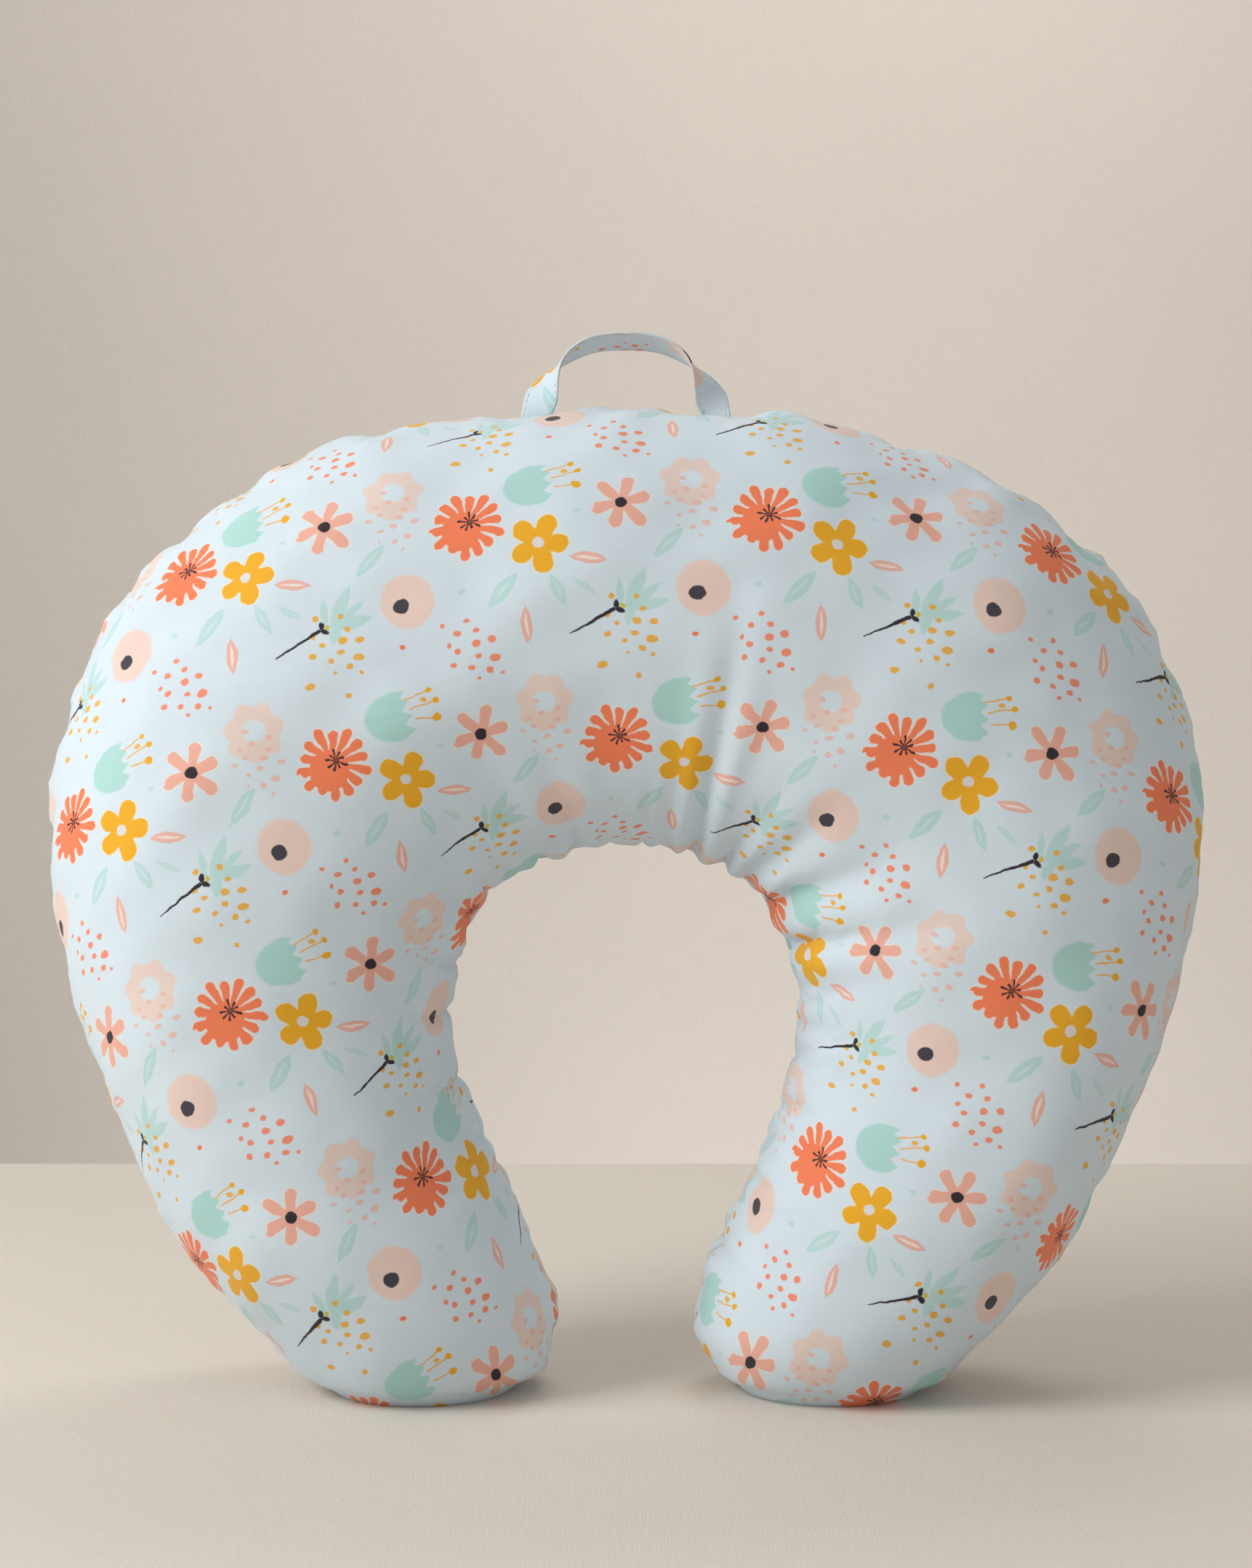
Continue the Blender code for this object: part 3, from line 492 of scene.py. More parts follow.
    # About the six-petalled flower.
    spot = repeat((55.0, -33.0))
    lay(leaf(finish, spot, (100.0, -14.2), (11.3, 3.4), 48.0) * 0.85, pale_teal)
    lay(leaf(finish, spot, (100.0, -14.2), (7.0, 0.6), 48.0) * 0.75, ground)
    lay(oval(finish, spot, (54.8, 3.2), (1.8, 1.1)) * 0.7, pale_teal)
    for centre, size, turn in (((76.1, -40.0), (7.8, 1.9), 95.0), ((84.1, -37.7), (12.4, 3.2), 64.0),
                               ((88.5, -41.4), (10.5, 2.3), 36.0), ((91.2, -46.2), (9.8, 3.0), 13.0),
                               ((81.3, -51.6), (5.6, 2.6), 75.0)):
        lay(leaf(finish, spot, centre, size, turn, 1.0) * 0.85, pale_teal)
    lay(dots(finish, spot, (83.1, -55.4), YELLOW_DOTS) * 0.92, yellow)
    stem = bar(finish, spot, (50.9, -59.9), (73.0, -48.6), 0.32, 0.75)
    stem = stem.apply("MAXIMUM", oval(finish, spot, (74.3, -45.9), (1.4, 2.3)))
    stem = stem.apply("MAXIMUM", oval(finish, spot, (76.0, -49.2), (2.7, 1.3), -28.0))
    lay(stem, ink)
    lay(oval(finish, spot, (77.4, -46.9), (1.2, 1.5)), (0.62, 0.50, 0.06))
    lay(dots(finish, spot, (0.6, -65.0), CORAL_DOTS) * 0.93,
        tuple(0.88 * a + 0.12 * b for a, b in zip(coral, pink)))
    flower = petals(finish, spot, PINK_FLOWER, 6, 14.0, 2.5, 12.0, (2.2, 3.2), 0.08)
    paint = rimmed(finish, paint, flower, pink, rim)
    lay(oval(finish, spot, PINK_FLOWER, (3.2, 3.1)), ink)

    threads = weave(finish, cloth, 0.62)
    slub = finish.noise(cloth, 1.3, 2.0)
    grain = tone * 0.10 + slub * 0.07 + threads * 0.035 + 0.885
    finish.feed("Base Color", finish.shade(paint, grain))
    finish.feed("Roughness", slub * 0.10 + 0.78)
    finish.bump(threads * 0.6 + slub * 0.9, 0.00016, 0.7)
    return finish.material


def plain_cloth(name, paint, pitch, depth, **fixed):
    """A woven cloth of one colour in millimetres of Object space: weave, slubs, soft cloud."""
    finish = Finish(name, sheen_weight=0.15, specular_ior_level=0.3, **fixed)
    place = finish.scaled(finish.place(), 1000.0)
    x, y, z = finish.split(place)
    turn = 2.0 * math.pi / pitch
    threads = (x * turn).apply("SINE") * ((y + z) * turn).apply("SINE") * 0.5 + 0.5
    cloud, slub = finish.noise(place, 0.02, 3.0), finish.noise(place, 0.9, 3.0)
    grain = cloud * 0.08 + slub * 0.08 + threads * 0.05 + 0.87
    finish.feed("Base Color", finish.shade(paint, grain))
    finish.feed("Roughness", slub * 0.12 + 0.80)
    finish.bump(threads + slub, depth, 0.6)
    return finish.material


def fibre_material():
    """Matted polyester fibre: stretched noise in two directions as crossing hairs."""
    finish = Finish("polyester_fibre", sheen_weight=0.3)
    place = finish.scaled(finish.place(), 1000.0)
    hairs = None
    for turn in (0.5, -0.8, 2.0):
        lay = finish.node("ShaderNodeMapping", {}, {
            "Vector": place, "Rotation": (turn, 0.3, turn * 1.7), "Scale": (1.0, 0.06, 1.0)})
        lock = finish.noise(lay, 0.8, 3.0)
        hairs = lock if hairs is None else hairs.apply("MAXIMUM", lock)
    finish.feed("Base Color", finish.mix(hairs, (0.80, 0.80, 0.78), (0.95, 0.95, 0.94)))
    finish.feed("Roughness", hairs * 0.15 + 0.8)
    finish.bump(hairs, 0.0012, 0.8)
    return finish.material


def tape_material():
    """Knitted zip tape: fine ribs that follow the arc, as rings of one radius."""
    finish = Finish("zip_tape", sheen_weight=0.1)
    x, _, z = finish.split(finish.place())
    up = z - ARCH_CENTRE
    radius = (x * x + up * up).apply("SQRT") * 1000.0
    turn = x.apply("ARCTAN2", up) * (RIDGE_RADIUS * 1000.0)
    ribs = (radius * (2.0 * math.pi / 0.9)).apply("SINE") * 0.5 + 0.5
    rows = (turn * (2.0 * math.pi / 0.7)).apply("SINE") * 0.5 + 0.5
    knit = ribs * 0.7 + rows * 0.3
    finish.feed("Base Color", finish.mix(knit, (0.50, 0.63, 0.71), (0.66, 0.77, 0.83)))
    finish.feed("Roughness", knit * 0.1 + 0.78)
    finish.bump(knit, 0.0002, 0.8)
    return finish.material


def nylon_material():
    """Moulded nylon with a faint cloud and fine scuffs."""
    finish = Finish("zip_nylon", specular_ior_level=0.5)
    place = finish.place()
    cloud, scuff = finish.noise(place, 60.0, 2.0), finish.noise(place, 900.0, 3.0)
    finish.feed("Base Color", finish.mix(cloud, (0.62, 0.74, 0.80), (0.72, 0.82, 0.87)))
    finish.feed("Roughness", scuff * 0.2 + 0.28)
    finish.bump(scuff, 0.00002, 0.5)
    return finish.material


def nickel_material():
    """Plated metal: brushed streaks, a few dull patches and hairline scratches."""
    finish = Finish("nickel", metallic=1.0)
    place = finish.place()
    lay = finish.node("ShaderNodeMapping", {}, {"Vector": place, "Rotation": (0.0, -0.98, 0.0),
                                                "Scale": (1.0, 1.0, 12.0)})
    streak, patch = finish.noise(lay, 420.0, 3.0), finish.noise(place, 260.0, 2.0)
    finish.feed("Base Color", finish.mix(patch, (0.62, 0.61, 0.58), (0.78, 0.77, 0.75)))
    finish.feed("Roughness", streak * 0.22 + patch * 0.12 + 0.14)
    finish.bump(streak, 0.00002, 0.4)
    return finish.material


def satin_material():
    """Woven satin ribbon: long floats as fine lines across the label, with a soft gloss."""
    finish = Finish("label_satin", sheen_weight=0.2)
    across, up, _ = finish.split(finish.cloth_place())
    floats = (up * (2.0 * math.pi / 0.35)).apply("SINE") * 0.5 + 0.5
    cloud = finish.noise(finish.cloth_place(), 0.2, 2.0)
    edge_line = edge(0.5 - abs(abs(across) - 11.6), 0.4)
    satin = finish.shade((0.90, 0.89, 0.86), cloud * 0.08 + floats * 0.03 + 0.90)
    finish.feed("Base Color", finish.mix(edge_line * 0.4, satin, (0.70, 0.69, 0.66)))
    finish.feed("Roughness", floats * 0.15 + 0.38)
    finish.bump(floats + edge_line, 0.0001, 0.5)
    return finish.material


def thread_material(name, paint):
    """Twisted sewing thread: slanting plies as a sine over the place, with painted highlight on the plies'
    crests and painted shade in the grooves between them.
    """
    finish = Finish(name, sheen_weight=0.2)
    x, y, z = finish.split(finish.place())
    painted_ply_shade = ((x + y * 0.6 + z) * 9000.0).apply("SINE") * 0.5 + 0.5
    # Painted shade and highlight: the thread's one colour is darkened in the ply grooves and kept full on the
    # crests.
    finish.feed("Base Color", finish.mix(painted_ply_shade, tuple(0.86 * value for value in paint), paint))
    finish.feed("Roughness", painted_ply_shade * 0.15 + 0.6)
    return finish.material


# ---- Meshes from grids ---------------------------------------------------------------
def smooth(low, high, value):
    """A smooth step from 0 at low to 1 at high."""
    share = np.clip((value - low) / (high - low), 0.0, 1.0)
    return share * share * (3.0 - 2.0 * share)


def new_piece(name, points, faces, finish, flat=None, corners=None):
    """A smooth-shaded object from points and faces; flat gives each point's place on the cut,
    and corners the point whose flat place each face corner takes, if it isn't its own."""
    mesh = bpy.data.meshes.new(name)
    mesh.from_pydata(np.asarray(points, float), [], faces)
    if flat is not None:
        if corners is None:
            corners = np.zeros(len(mesh.loops), np.int32)
            mesh.loops.foreach_get("vertex_index", corners)
        layer = mesh.uv_layers.new(name="UVMap")
        layer.data.foreach_set("uv", np.asarray(flat, np.float32)[corners].ravel())
    mesh.materials.append(finish)
    mesh.shade_smooth()
    made = bpy.data.objects.new(name, mesh)
    bpy.context.collection.objects.link(made)
    return made


def between(number):
    """The four-cornered faces between neighbours in a grid of point numbers."""
    return np.stack((number[:-1, :-1], number[:-1, 1:], number[1:, 1:], number[1:, :-1]), axis=-1)


def grid_piece(name, grid, finish, flat=None, wrap=False, poles=False, flip=False):
    """A surface from a grid of points: four-cornered faces between neighbours; with wrap the
    last column meets the first, and with poles the first and last rows are one point each."""
    rows, columns = grid.shape[:2]
    number = np.arange(rows * columns).reshape(rows, columns)
    source = np.column_stack((number, number[:, :1])) if wrap else number
    quads = between(source)
    if flip:
        quads = quads[..., ::-1]
    quads = quads.reshape(rows - 1, -1, 4)
    points, remap = grid.reshape(-1, 3), np.arange(rows * columns)
    if poles:
        remap = np.concatenate(([0] * columns, np.arange(1, (rows - 2) * columns + 1),
                                [(rows - 2) * columns + 1] * columns))
        points = np.vstack((grid[0, :1], grid[1:-1].reshape(-1, 3), grid[-1, :1]))
        first = [[corner for corner in face if corner >= columns or corner == face[-1 if flip else 0]]
                 for face in quads[0].tolist()]
        last_start = (rows - 1) * columns
        last = [[corner for corner in face if corner < last_start or corner == face[0 if flip else -1]]
                for face in quads[-1].tolist()]
        kept = first + quads[1:-1].reshape(-1, 4).tolist() + last
    else:
        kept = quads.reshape(-1, 4).tolist()
    corners = np.fromiter((corner for face in kept for corner in face), np.int64)
    faces = [[int(remap[corner]) for corner in face] for face in kept]
    return new_piece(name, points, faces, finish,
                     None if flat is None else flat.reshape(-1, 2), corners)


def carried(name, loops, finish, flat=None, closed=False, flip=False):
    """A tube from rows of equal loops of points, with a flat cap at each open end."""
    rows, sides = loops.shape[:2]
    number = np.arange(rows * sides).reshape(rows, sides)
    ring = np.column_stack((number, number[:, :1]))
    if closed:
        ring = np.vstack((ring, ring[:1]))
    faces = between(ring).reshape(-1, 4).tolist()
    if not closed:
        faces += [number[0][::-1].tolist(), number[-1].tolist()]
    if flip:
        faces = [face[::-1] for face in faces]
    return new_piece(name, loops.reshape(-1, 3), faces, finish,
                     None if flat is None else flat.reshape(-1, 2))


def repeated(name, loops, finish, flip=False):
    """Many equal short tubes in one mesh: loops has the axes tube, row, side and xyz."""
    tubes, rows, sides = loops.shape[:3]
    number = np.arange(rows * sides).reshape(rows, sides)
    ring = np.column_stack((number, number[:, :1]))
    quads = between(ring).reshape(-1, 4)
    caps = [number[0][::-1], number[-1]]
    if flip:
        quads, caps = quads[:, ::-1], [cap[::-1] for cap in caps]
    shift = (np.arange(tubes) * rows * sides)[:, None]
    faces = (quads[None] + shift[:, :, None]).reshape(-1, 4).tolist()
    for cap in caps:
        faces += (cap[None] + shift).tolist()
    return new_piece(name, loops.reshape(-1, 3), faces, finish)


def thicken(piece, wall):
    """Give a sheet its wall, inwards, with closed edges."""
    solid = piece.modifiers.new("wall", "SOLIDIFY")
    solid.thickness, solid.offset, solid.use_rim = wall, -1.0, True


# ---- The body surface ------------------------------------------------------------------
def natural_spline(knots, values, wanted):
    """Cubic spline with free ends through values at knots, read at the wanted places."""
    span, count = np.diff(knots), len(knots)
    matrix, bend = np.eye(count), np.zeros((count, values.shape[1]))
    for i in range(1, count - 1):
        matrix[i, i - 1:i + 2] = span[i - 1], 2.0 * (span[i - 1] + span[i]), span[i]
        bend[i] = 6.0 * ((values[i + 1] - values[i]) / span[i]
                         - (values[i] - values[i - 1]) / span[i - 1])
    second = np.linalg.solve(matrix, bend)
    k = np.clip(np.searchsorted(knots, wanted) - 1, 0, count - 2)
    left = ((knots[k + 1] - wanted) / span[k])[:, None]
    right = 1.0 - left
    lift = (left ** 3 - left) * second[k] + (right ** 3 - right) * second[k + 1]
    return left * values[k] + right * values[k + 1] + lift * (span[k] ** 2)[:, None] / 6.0


def section_row(row):
    """One row of SECTIONS in metres: inner x, z, outer x, z, ridge x, z, depth share."""
    inner_x, inner_z, outer_x, outer_z, share, depth = row
    rise = ARCH_TOP - ARCH_CENTRE if inner_z > 0.0 else ARCH_CENTRE
    inner = np.array((inner_x * ARCH_HALF_WIDTH, ARCH_CENTRE + inner_z * rise))
    outer = np.array((outer_x * HALF_WIDTH, outer_z * HEIGHT))
    if depth == 0.0:
        inner = outer = 0.5 * (inner + outer)
    if share is None:
        start, way = inner - (0.0, ARCH_CENTRE), outer - inner
        a, b, c = way @ way, start @ way, start @ start - RIDGE_RADIUS ** 2
        share = (-b + math.sqrt(b * b - a * c)) / a
    return (*inner, *outer, *(inner + share * (outer - inner)), depth)


def section_table():
    """All sections from the left tip to the right tip, with the distance along the body."""
    half = np.array([section_row(row) for row in SECTIONS])
    table = np.vstack((half[:0:-1] * (-1.0, 1.0, -1.0, 1.0, -1.0, 1.0, 1.0), half))
    move = np.diff(table, axis=0)
    stride = np.sqrt(np.hypot(move[:, 0], move[:, 1]) * np.hypot(move[:, 2], move[:, 3]))
    along = np.concatenate(((0.0,), np.cumsum(stride)))
    return along - 0.5 * along[-1], table


def even_sections(count):
    """Section rows at places spread evenly along the ridge, tips included."""
    along, table = section_table()
    dense = np.linspace(along[0], along[-1], 4001)
    ridge = natural_spline(along, table, dense)[:, 4:6]
    run = np.concatenate(((0.0,), np.cumsum(np.linalg.norm(np.diff(ridge, axis=0), axis=1))))
    return natural_spline(along, table, np.interp(np.linspace(0.0, run[-1], count), run, dense))


def body_grid(rows, angles):
    """Points of the closed body.  A section is a superellipse: across from the ridge to each
    seam it goes as |cos| to the power 2/n, and out to the front or back as |sin| to the same."""
    cosine, sine, power = np.cos(angles), np.sin(angles), 2.0 / SECTION_POWER
    across = np.abs(np.where(np.abs(cosine) < 1e-9, 0.0, cosine)) ** power
    out = np.sign(sine) * np.abs(np.where(np.abs(sine) < 1e-9, 0.0, sine)) ** power
    seam = np.where((cosine > 0.0)[None, :, None], rows[:, None, 0:2], rows[:, None, 2:4])
    place = rows[:, None, 4:6] + across[None, :, None] * (seam - rows[:, None, 4:6])
    deep = np.where(sine < 0.0, FRONT_DEPTH, BACK_DEPTH)[None, :] * np.clip(rows[:, 6:7], 0.0, 1.0)
    return np.stack((place[..., 0], deep * out[None, :], np.maximum(place[..., 1], 0.0)), axis=-1)


def grid_normals(grid):
    """Outward unit normals of a closed grid, from the cross product of neighbour differences."""
    along = np.gradient(grid, axis=0)
    around = np.roll(grid, -1, axis=1) - np.roll(grid, 1, axis=1)
    normal = np.cross(around, along)
    normal /= np.maximum(np.linalg.norm(normal, axis=-1, keepdims=True), 1e-12)
    middle = len(grid) // 2
    if normal[middle, FRONT_RIDGE * grid.shape[1] // COLUMNS, 1] > 0.0:
        normal = -normal
    for tip, beside in ((0, 1), (-1, -2)):
        mean = normal[beside].mean(axis=0)
        normal[tip] = mean / max(np.linalg.norm(mean), 1e-12)
    return normal


def doubled(field):
    """A wrapped grid's field on twice as many cells, by the cubic midpoint rule both ways."""
    wide = np.empty((field.shape[0], 2 * field.shape[1], field.shape[2]))
    wide[:, ::2] = field
    near = field + np.roll(field, -1, axis=1)
    far = np.roll(field, 1, axis=1) + np.roll(field, -2, axis=1)
    wide[:, 1::2] = (9.0 * near - far) / 16.0
    tall = np.empty((2 * wide.shape[0] - 1,) + wide.shape[1:])
    tall[::2] = wide
    padded = np.concatenate((wide[:1], wide, wide[-1:]))
    tall[1::2] = (9.0 * (padded[1:-2] + padded[2:-1]) - padded[:-3] - padded[3:]) / 16.0
    return tall


def blurred(field, passes):
    """A wrapped grid's field after repeated averaging with its four neighbours."""
    for _ in range(passes):
        padded = np.concatenate((field[:1], field, field[-1:]))
        field = 0.25 * (padded[:-2] + padded[2:]
                        + np.roll(field, 1, axis=1) + np.roll(field, -1, axis=1))
    return field


def seam_run(line):
    """Length along a seam, from its middle, as one column."""
    run = np.concatenate(((0.0,), np.cumsum(np.linalg.norm(np.diff(line, axis=0), axis=1))))
    return (run - 0.5 * run[-1])[:, None]


def waves(first, second, wavelength, seed, count=14):
    """Smooth unevenness: the sum of plane waves of about one wavelength, random ways and phases."""
    random = np.random.default_rng(seed)
    total = np.zeros(np.broadcast(first, second).shape)
    for _ in range(count):
        way, phase = random.uniform(0.0, 2.0 * math.pi, 2)
        turn = 2.0 * math.pi / (wavelength * random.uniform(0.75, 1.35))
        total += np.sin(turn * (math.cos(way) * first + math.sin(way) * second) + phase)
    return total / math.sqrt(0.5 * count)


# ---- Settling the cloth --------------------------------------------------------------------
def group(piece, name, weights):
    """A vertex group with weights rounded to 24 steps, so that it is filled step by step."""
    made = piece.vertex_groups.new(name=name)
    steps = np.round(weights * 24.0).astype(int)
    for step in range(1, 25):
        made.add(np.nonzero(steps == step)[0].tolist(), step / 24.0, "REPLACE")
    return made.name


def settle(grid, held, tight, cover):
    """Let the closed body swell and crease as cloth, and give back how far each point moved.

    The cloth has more length than the body where tight is low, so it buckles into folds as
    the filling's pressure pushes it out.  Held points stay, and no point moves past the cap.
    """
    body = grid_piece("settling_cloth", grid, None, wrap=True, poles=True)
    count = grid.shape[1]
    held_flat = np.concatenate(((1.0,), held[1:-1].ravel(), (1.0,)))
    tight_flat = np.concatenate(((1.0,), tight[1:-1].ravel(), (1.0,)))
    cloth = body.modifiers.new("cloth", "CLOTH")
    how = cloth.settings
    how.quality, how.mass = 5, 0.02
    how.tension_stiffness = how.compression_stiffness = 6.0
    how.shear_stiffness, how.bending_stiffness = 2.0, 2.0
    how.air_damping = 1.0
    how.use_pressure, how.uniform_pressure_force = True, cover.pressure
    how.vertex_group_mass, how.pin_stiffness = group(body, "held", held_flat), 0.5
    how.shrink_min, how.shrink_max = -cover.slack, 0.0
    how.vertex_group_shrink = group(body, "tight", tight_flat)
    how.effector_weights.gravity = 0.0
    cloth.collision_settings.use_collision = False
    cloth.point_cache.frame_start, cloth.point_cache.frame_end = 1, cover.settle_frames + 1
    scene = bpy.context.scene
    for number in range(1, cover.settle_frames + 1):
        scene.frame_set(number)
    shape = body.evaluated_get(bpy.context.evaluated_depsgraph_get()).data
    points = np.zeros(3 * len(shape.vertices), np.float32)
    shape.vertices.foreach_get("co", points)
    points = points.reshape(-1, 3).astype(float)
    moved = np.zeros_like(grid)
    moved[1:-1] = points[1:-1].reshape(-1, count, 3) - grid[1:-1]
    mesh = body.data
    bpy.data.objects.remove(body, do_unlink=True)
    bpy.data.meshes.remove(mesh)
    scene.frame_set(1)
    if not np.isfinite(moved).all():
        raise RuntimeError("the cloth did not settle")
    far = np.maximum(np.linalg.norm(moved, axis=-1, keepdims=True), 1e-9)
    return moved * cover.settle_cap * np.tanh(far / cover.settle_cap) / far


CROWN_FOLDS = (   # angle round the arch in degrees, lean, reach from the seam, width, depth (mm)
    (-72.0, -0.05, 0.60, 5.0, 0.9), (-57.0, -0.06, 0.50, 5.0, 0.8), (-43.0, -0.06, 0.60, 5.0, 0.7),
    (-28.0, -0.03, 0.95, 6.5, 1.5), (-16.5, 0.00, 0.90, 6.0, 1.6), (-6.5, 0.02, 0.60, 4.0, 0.9),
    (5.6, 0.00, 0.62, 2.6, 1.4), (12.5, 0.02, 0.90, 5.5, 1.3), (22.5, -0.12, 1.30, 4.0, 3.6),
    (33.0, 0.02, 0.75, 4.5, 1.7), (42.0, 0.05, 0.85, 5.0, 1.8), (53.0, 0.12, 0.85, 5.5, 2.2),
    (66.0, 0.14, 1.00, 5.5, 2.3), (80.0, 0.08, 0.70, 5.0, 1.4),
)


def surface():
    """The settled cover's outer face, its flat cut and its normals, worked out once.

    The settled cloth's movement is smoothed once, most of its broad swelling is taken out, and
    what is left is made a quarter larger, so it is a look and not a measured drape.  The body
    grid is moved by that, then along its normals by: valleys on the two seams, gathers beside
    them (a sine along the seam that dies away from it), folds that fan out from the waist
    opening, puckers under the handle's ends, and the filling's lumps.
    """
    if "grid" in MADE:
        return MADE
    cover = bpy.context.scene.pillow_cover
    rows = even_sections(ROWS + 1)
    angles = -math.pi + 2.0 * math.pi * np.arange(COLUMNS) / COLUMNS
    grid = body_grid(rows, angles)
    normal = grid_normals(grid)
    step = np.linalg.norm(np.diff(np.concatenate((grid, grid[:, :1]), axis=1), axis=1), axis=-1)
    around = np.concatenate((np.zeros((len(grid), 1)), np.cumsum(step, axis=1)), axis=1)
    whole, around = around[:, -1:], around[:, :-1]
    to_outer = np.minimum(around, whole - around)
    to_inner = np.abs(around - around[:, INNER_SEAM:INNER_SEAM + 1])
    to_back = np.abs(around - around[:, BACK_RIDGE:BACK_RIDGE + 1])
    run = np.concatenate(((0.0,), np.cumsum(np.linalg.norm(np.diff(rows[:, 4:6], axis=0), axis=1))))
    along = run - 0.5 * run[-1]
    bearing = np.arctan2(rows[:, 4], rows[:, 5] - ARCH_CENTRE)[:, None]
    share = np.clip(rows[:, 6:7], 0.0, 1.0)
    x, y, z = grid[..., 0], grid[..., 1], grid[..., 2]
    turn = np.arctan2(x, z - ARCH_CENTRE)
    radius = np.hypot(x, z - ARCH_CENTRE)

    # What stays put: the zip's strip, the soles, the handle's ends and the label's place.
    zip_strip = (smooth(0.045, 0.016, to_back)
                 * smooth(math.radians(72), math.radians(63), np.abs(bearing)))
    sole = smooth(0.012, 0.0008, z)
    ends = smooth(0.030, 0.010, np.hypot(np.abs(x) - HANDLE_HALF_SPAN, to_outer))
    under_label = (smooth(0.030, 0.018, np.abs(bearing - LABEL_ANGLE) * RIDGE_RADIUS)
                   * smooth(0.060, 0.045, to_outer) * (y > 0.0))
    still = np.maximum.reduce([zip_strip, sole, ends, under_label])
    moved = np.zeros_like(grid)
    half = (slice(None, None, 2), slice(None, None, 2))
    loose = np.clip(0.12 + 0.88 * smooth(0.075, 0.010, to_inner)
                    + 0.75 * smooth(0.050, 0.006, to_outer), 0.0, 1.0)
    held = np.maximum(0.30, still)
    coarse = settle(grid[half], held[half], 1.0 - loose[half], cover)
    coarse = CREASE_GAIN * (blurred(coarse, 1) - SWELL_OUT * blurred(coarse, SWELL_PASSES))
    moved = doubled(coarse) * (1.0 - still)[..., None]

    # Valleys along the seams, and the gathers beside them.
    side = np.where(y < 0.0, 0.0, 2.1)
    outer_run, inner_run = seam_run(grid[:, 0]), seam_run(grid[:, INNER_SEAM])
    upper = smooth(math.radians(20), math.radians(48), np.abs(bearing)) * smooth(
        math.radians(105), math.radians(80), np.abs(bearing))
    feet = smooth(math.radians(118), math.radians(136), np.abs(bearing))
    gather = np.sin(2.0 * math.pi * outer_run / 0.0185 + 2.2 * np.sin(outer_run / 0.021) + side)
    gather = gather + 0.45 * np.sin(2.0 * math.pi * outer_run / 0.0083 + side)
    height = cover.pucker * gather * (0.30 + 0.85 * upper + 0.9 * feet) * np.exp(-to_outer / 0.011)
    gather = np.sin(2.0 * math.pi * inner_run / 0.0135 + 1.8 * np.sin(inner_run / 0.017) + 1.3 * side)
    height += cover.pucker * gather * (0.35 + 0.5 * feet) * np.exp(-to_inner / 0.012)
    scallop = np.sin(2.0 * math.pi * inner_run / 0.0270 + 1.1 * np.sin(inner_run / 0.013) + 0.4)
    height += 1.5 * cover.pucker * scallop * feet * np.exp(-to_inner / 0.020)
    scallop = np.sin(2.0 * math.pi * outer_run / 0.0310 + 1.3 * np.sin(outer_run / 0.019))
    height += 1.1 * cover.pucker * scallop * feet * np.exp(-to_outer / 0.022)
    valley = np.exp(-(to_outer / 0.0038) ** 2) + np.exp(-(to_inner / 0.0038) ** 2)
    height -= cover.seam_dip * valley

    # Folds that fan out from the waist opening, deepest at its seam.
    front = np.where(y <= 0.0, 1.0, 0.55)
    reach_share = to_inner / np.maximum(around[:, INNER_SEAM:INNER_SEAM + 1]
                                        - around[:, FRONT_RIDGE:FRONT_RIDGE + 1], 1e-6)
    for angle, lean, far, wide, deep in CROWN_FOLDS:
        off = (turn - math.radians(angle) - lean * reach_share) * radius
        wide = 0.001 * wide * (0.8 + 0.9 * reach_share)
        beside = (np.abs(off) - 1.9 * wide) / (1.1 * wide)
        trough = np.exp(-(off / wide) ** 2) - 0.55 * np.exp(-beside ** 2)
        fade = smooth(far, 0.15 * far, reach_share) * smooth(-0.004, 0.010, to_inner)
        height -= 0.001 * deep * trough * fade * front

    # Puckers under the handle's sewn ends, and the filling's unevenness.
    for end in (-1.0, 1.0):
        off = np.arctan2(x - end * HANDLE_HALF_SPAN, np.maximum(to_outer + 0.010, 1e-6))
        near = np.exp(-(np.hypot(x - end * HANDLE_HALF_SPAN, to_outer) / 0.034) ** 2)
        ray = np.cos(7.5 * off + 0.6 * end)
        height += 0.0011 * ray * near * smooth(0.0, 0.006, to_outer) * (np.abs(turn) < 1.2)
    height += cover.lump * waves(x + 0.3 * y, z - 0.4 * y, 0.115, 5)
    height += 0.32 * cover.lump * waves(x, z + 0.8 * y, 0.045, 9)
    height *= (1.0 - 0.92 * still) * smooth(0.0, 0.10, share)
    grid = grid + moved + height[..., None] * normal
    grid[..., 2] = np.maximum(grid[..., 2], 0.0)
    MADE.update(grid=grid, normal=grid_normals(grid), rows=rows, angles=angles, around=around,
                bearing=bearing[:, 0], along=along, share=share, to_back=to_back)
    MADE["front_flat"] = flat_cut(rows, around, FRONT_RIDGE, 1.0)
    MADE["back_flat"] = flat_cut(rows, around, BACK_RIDGE, -1.0)
    return MADE


MADE = {}


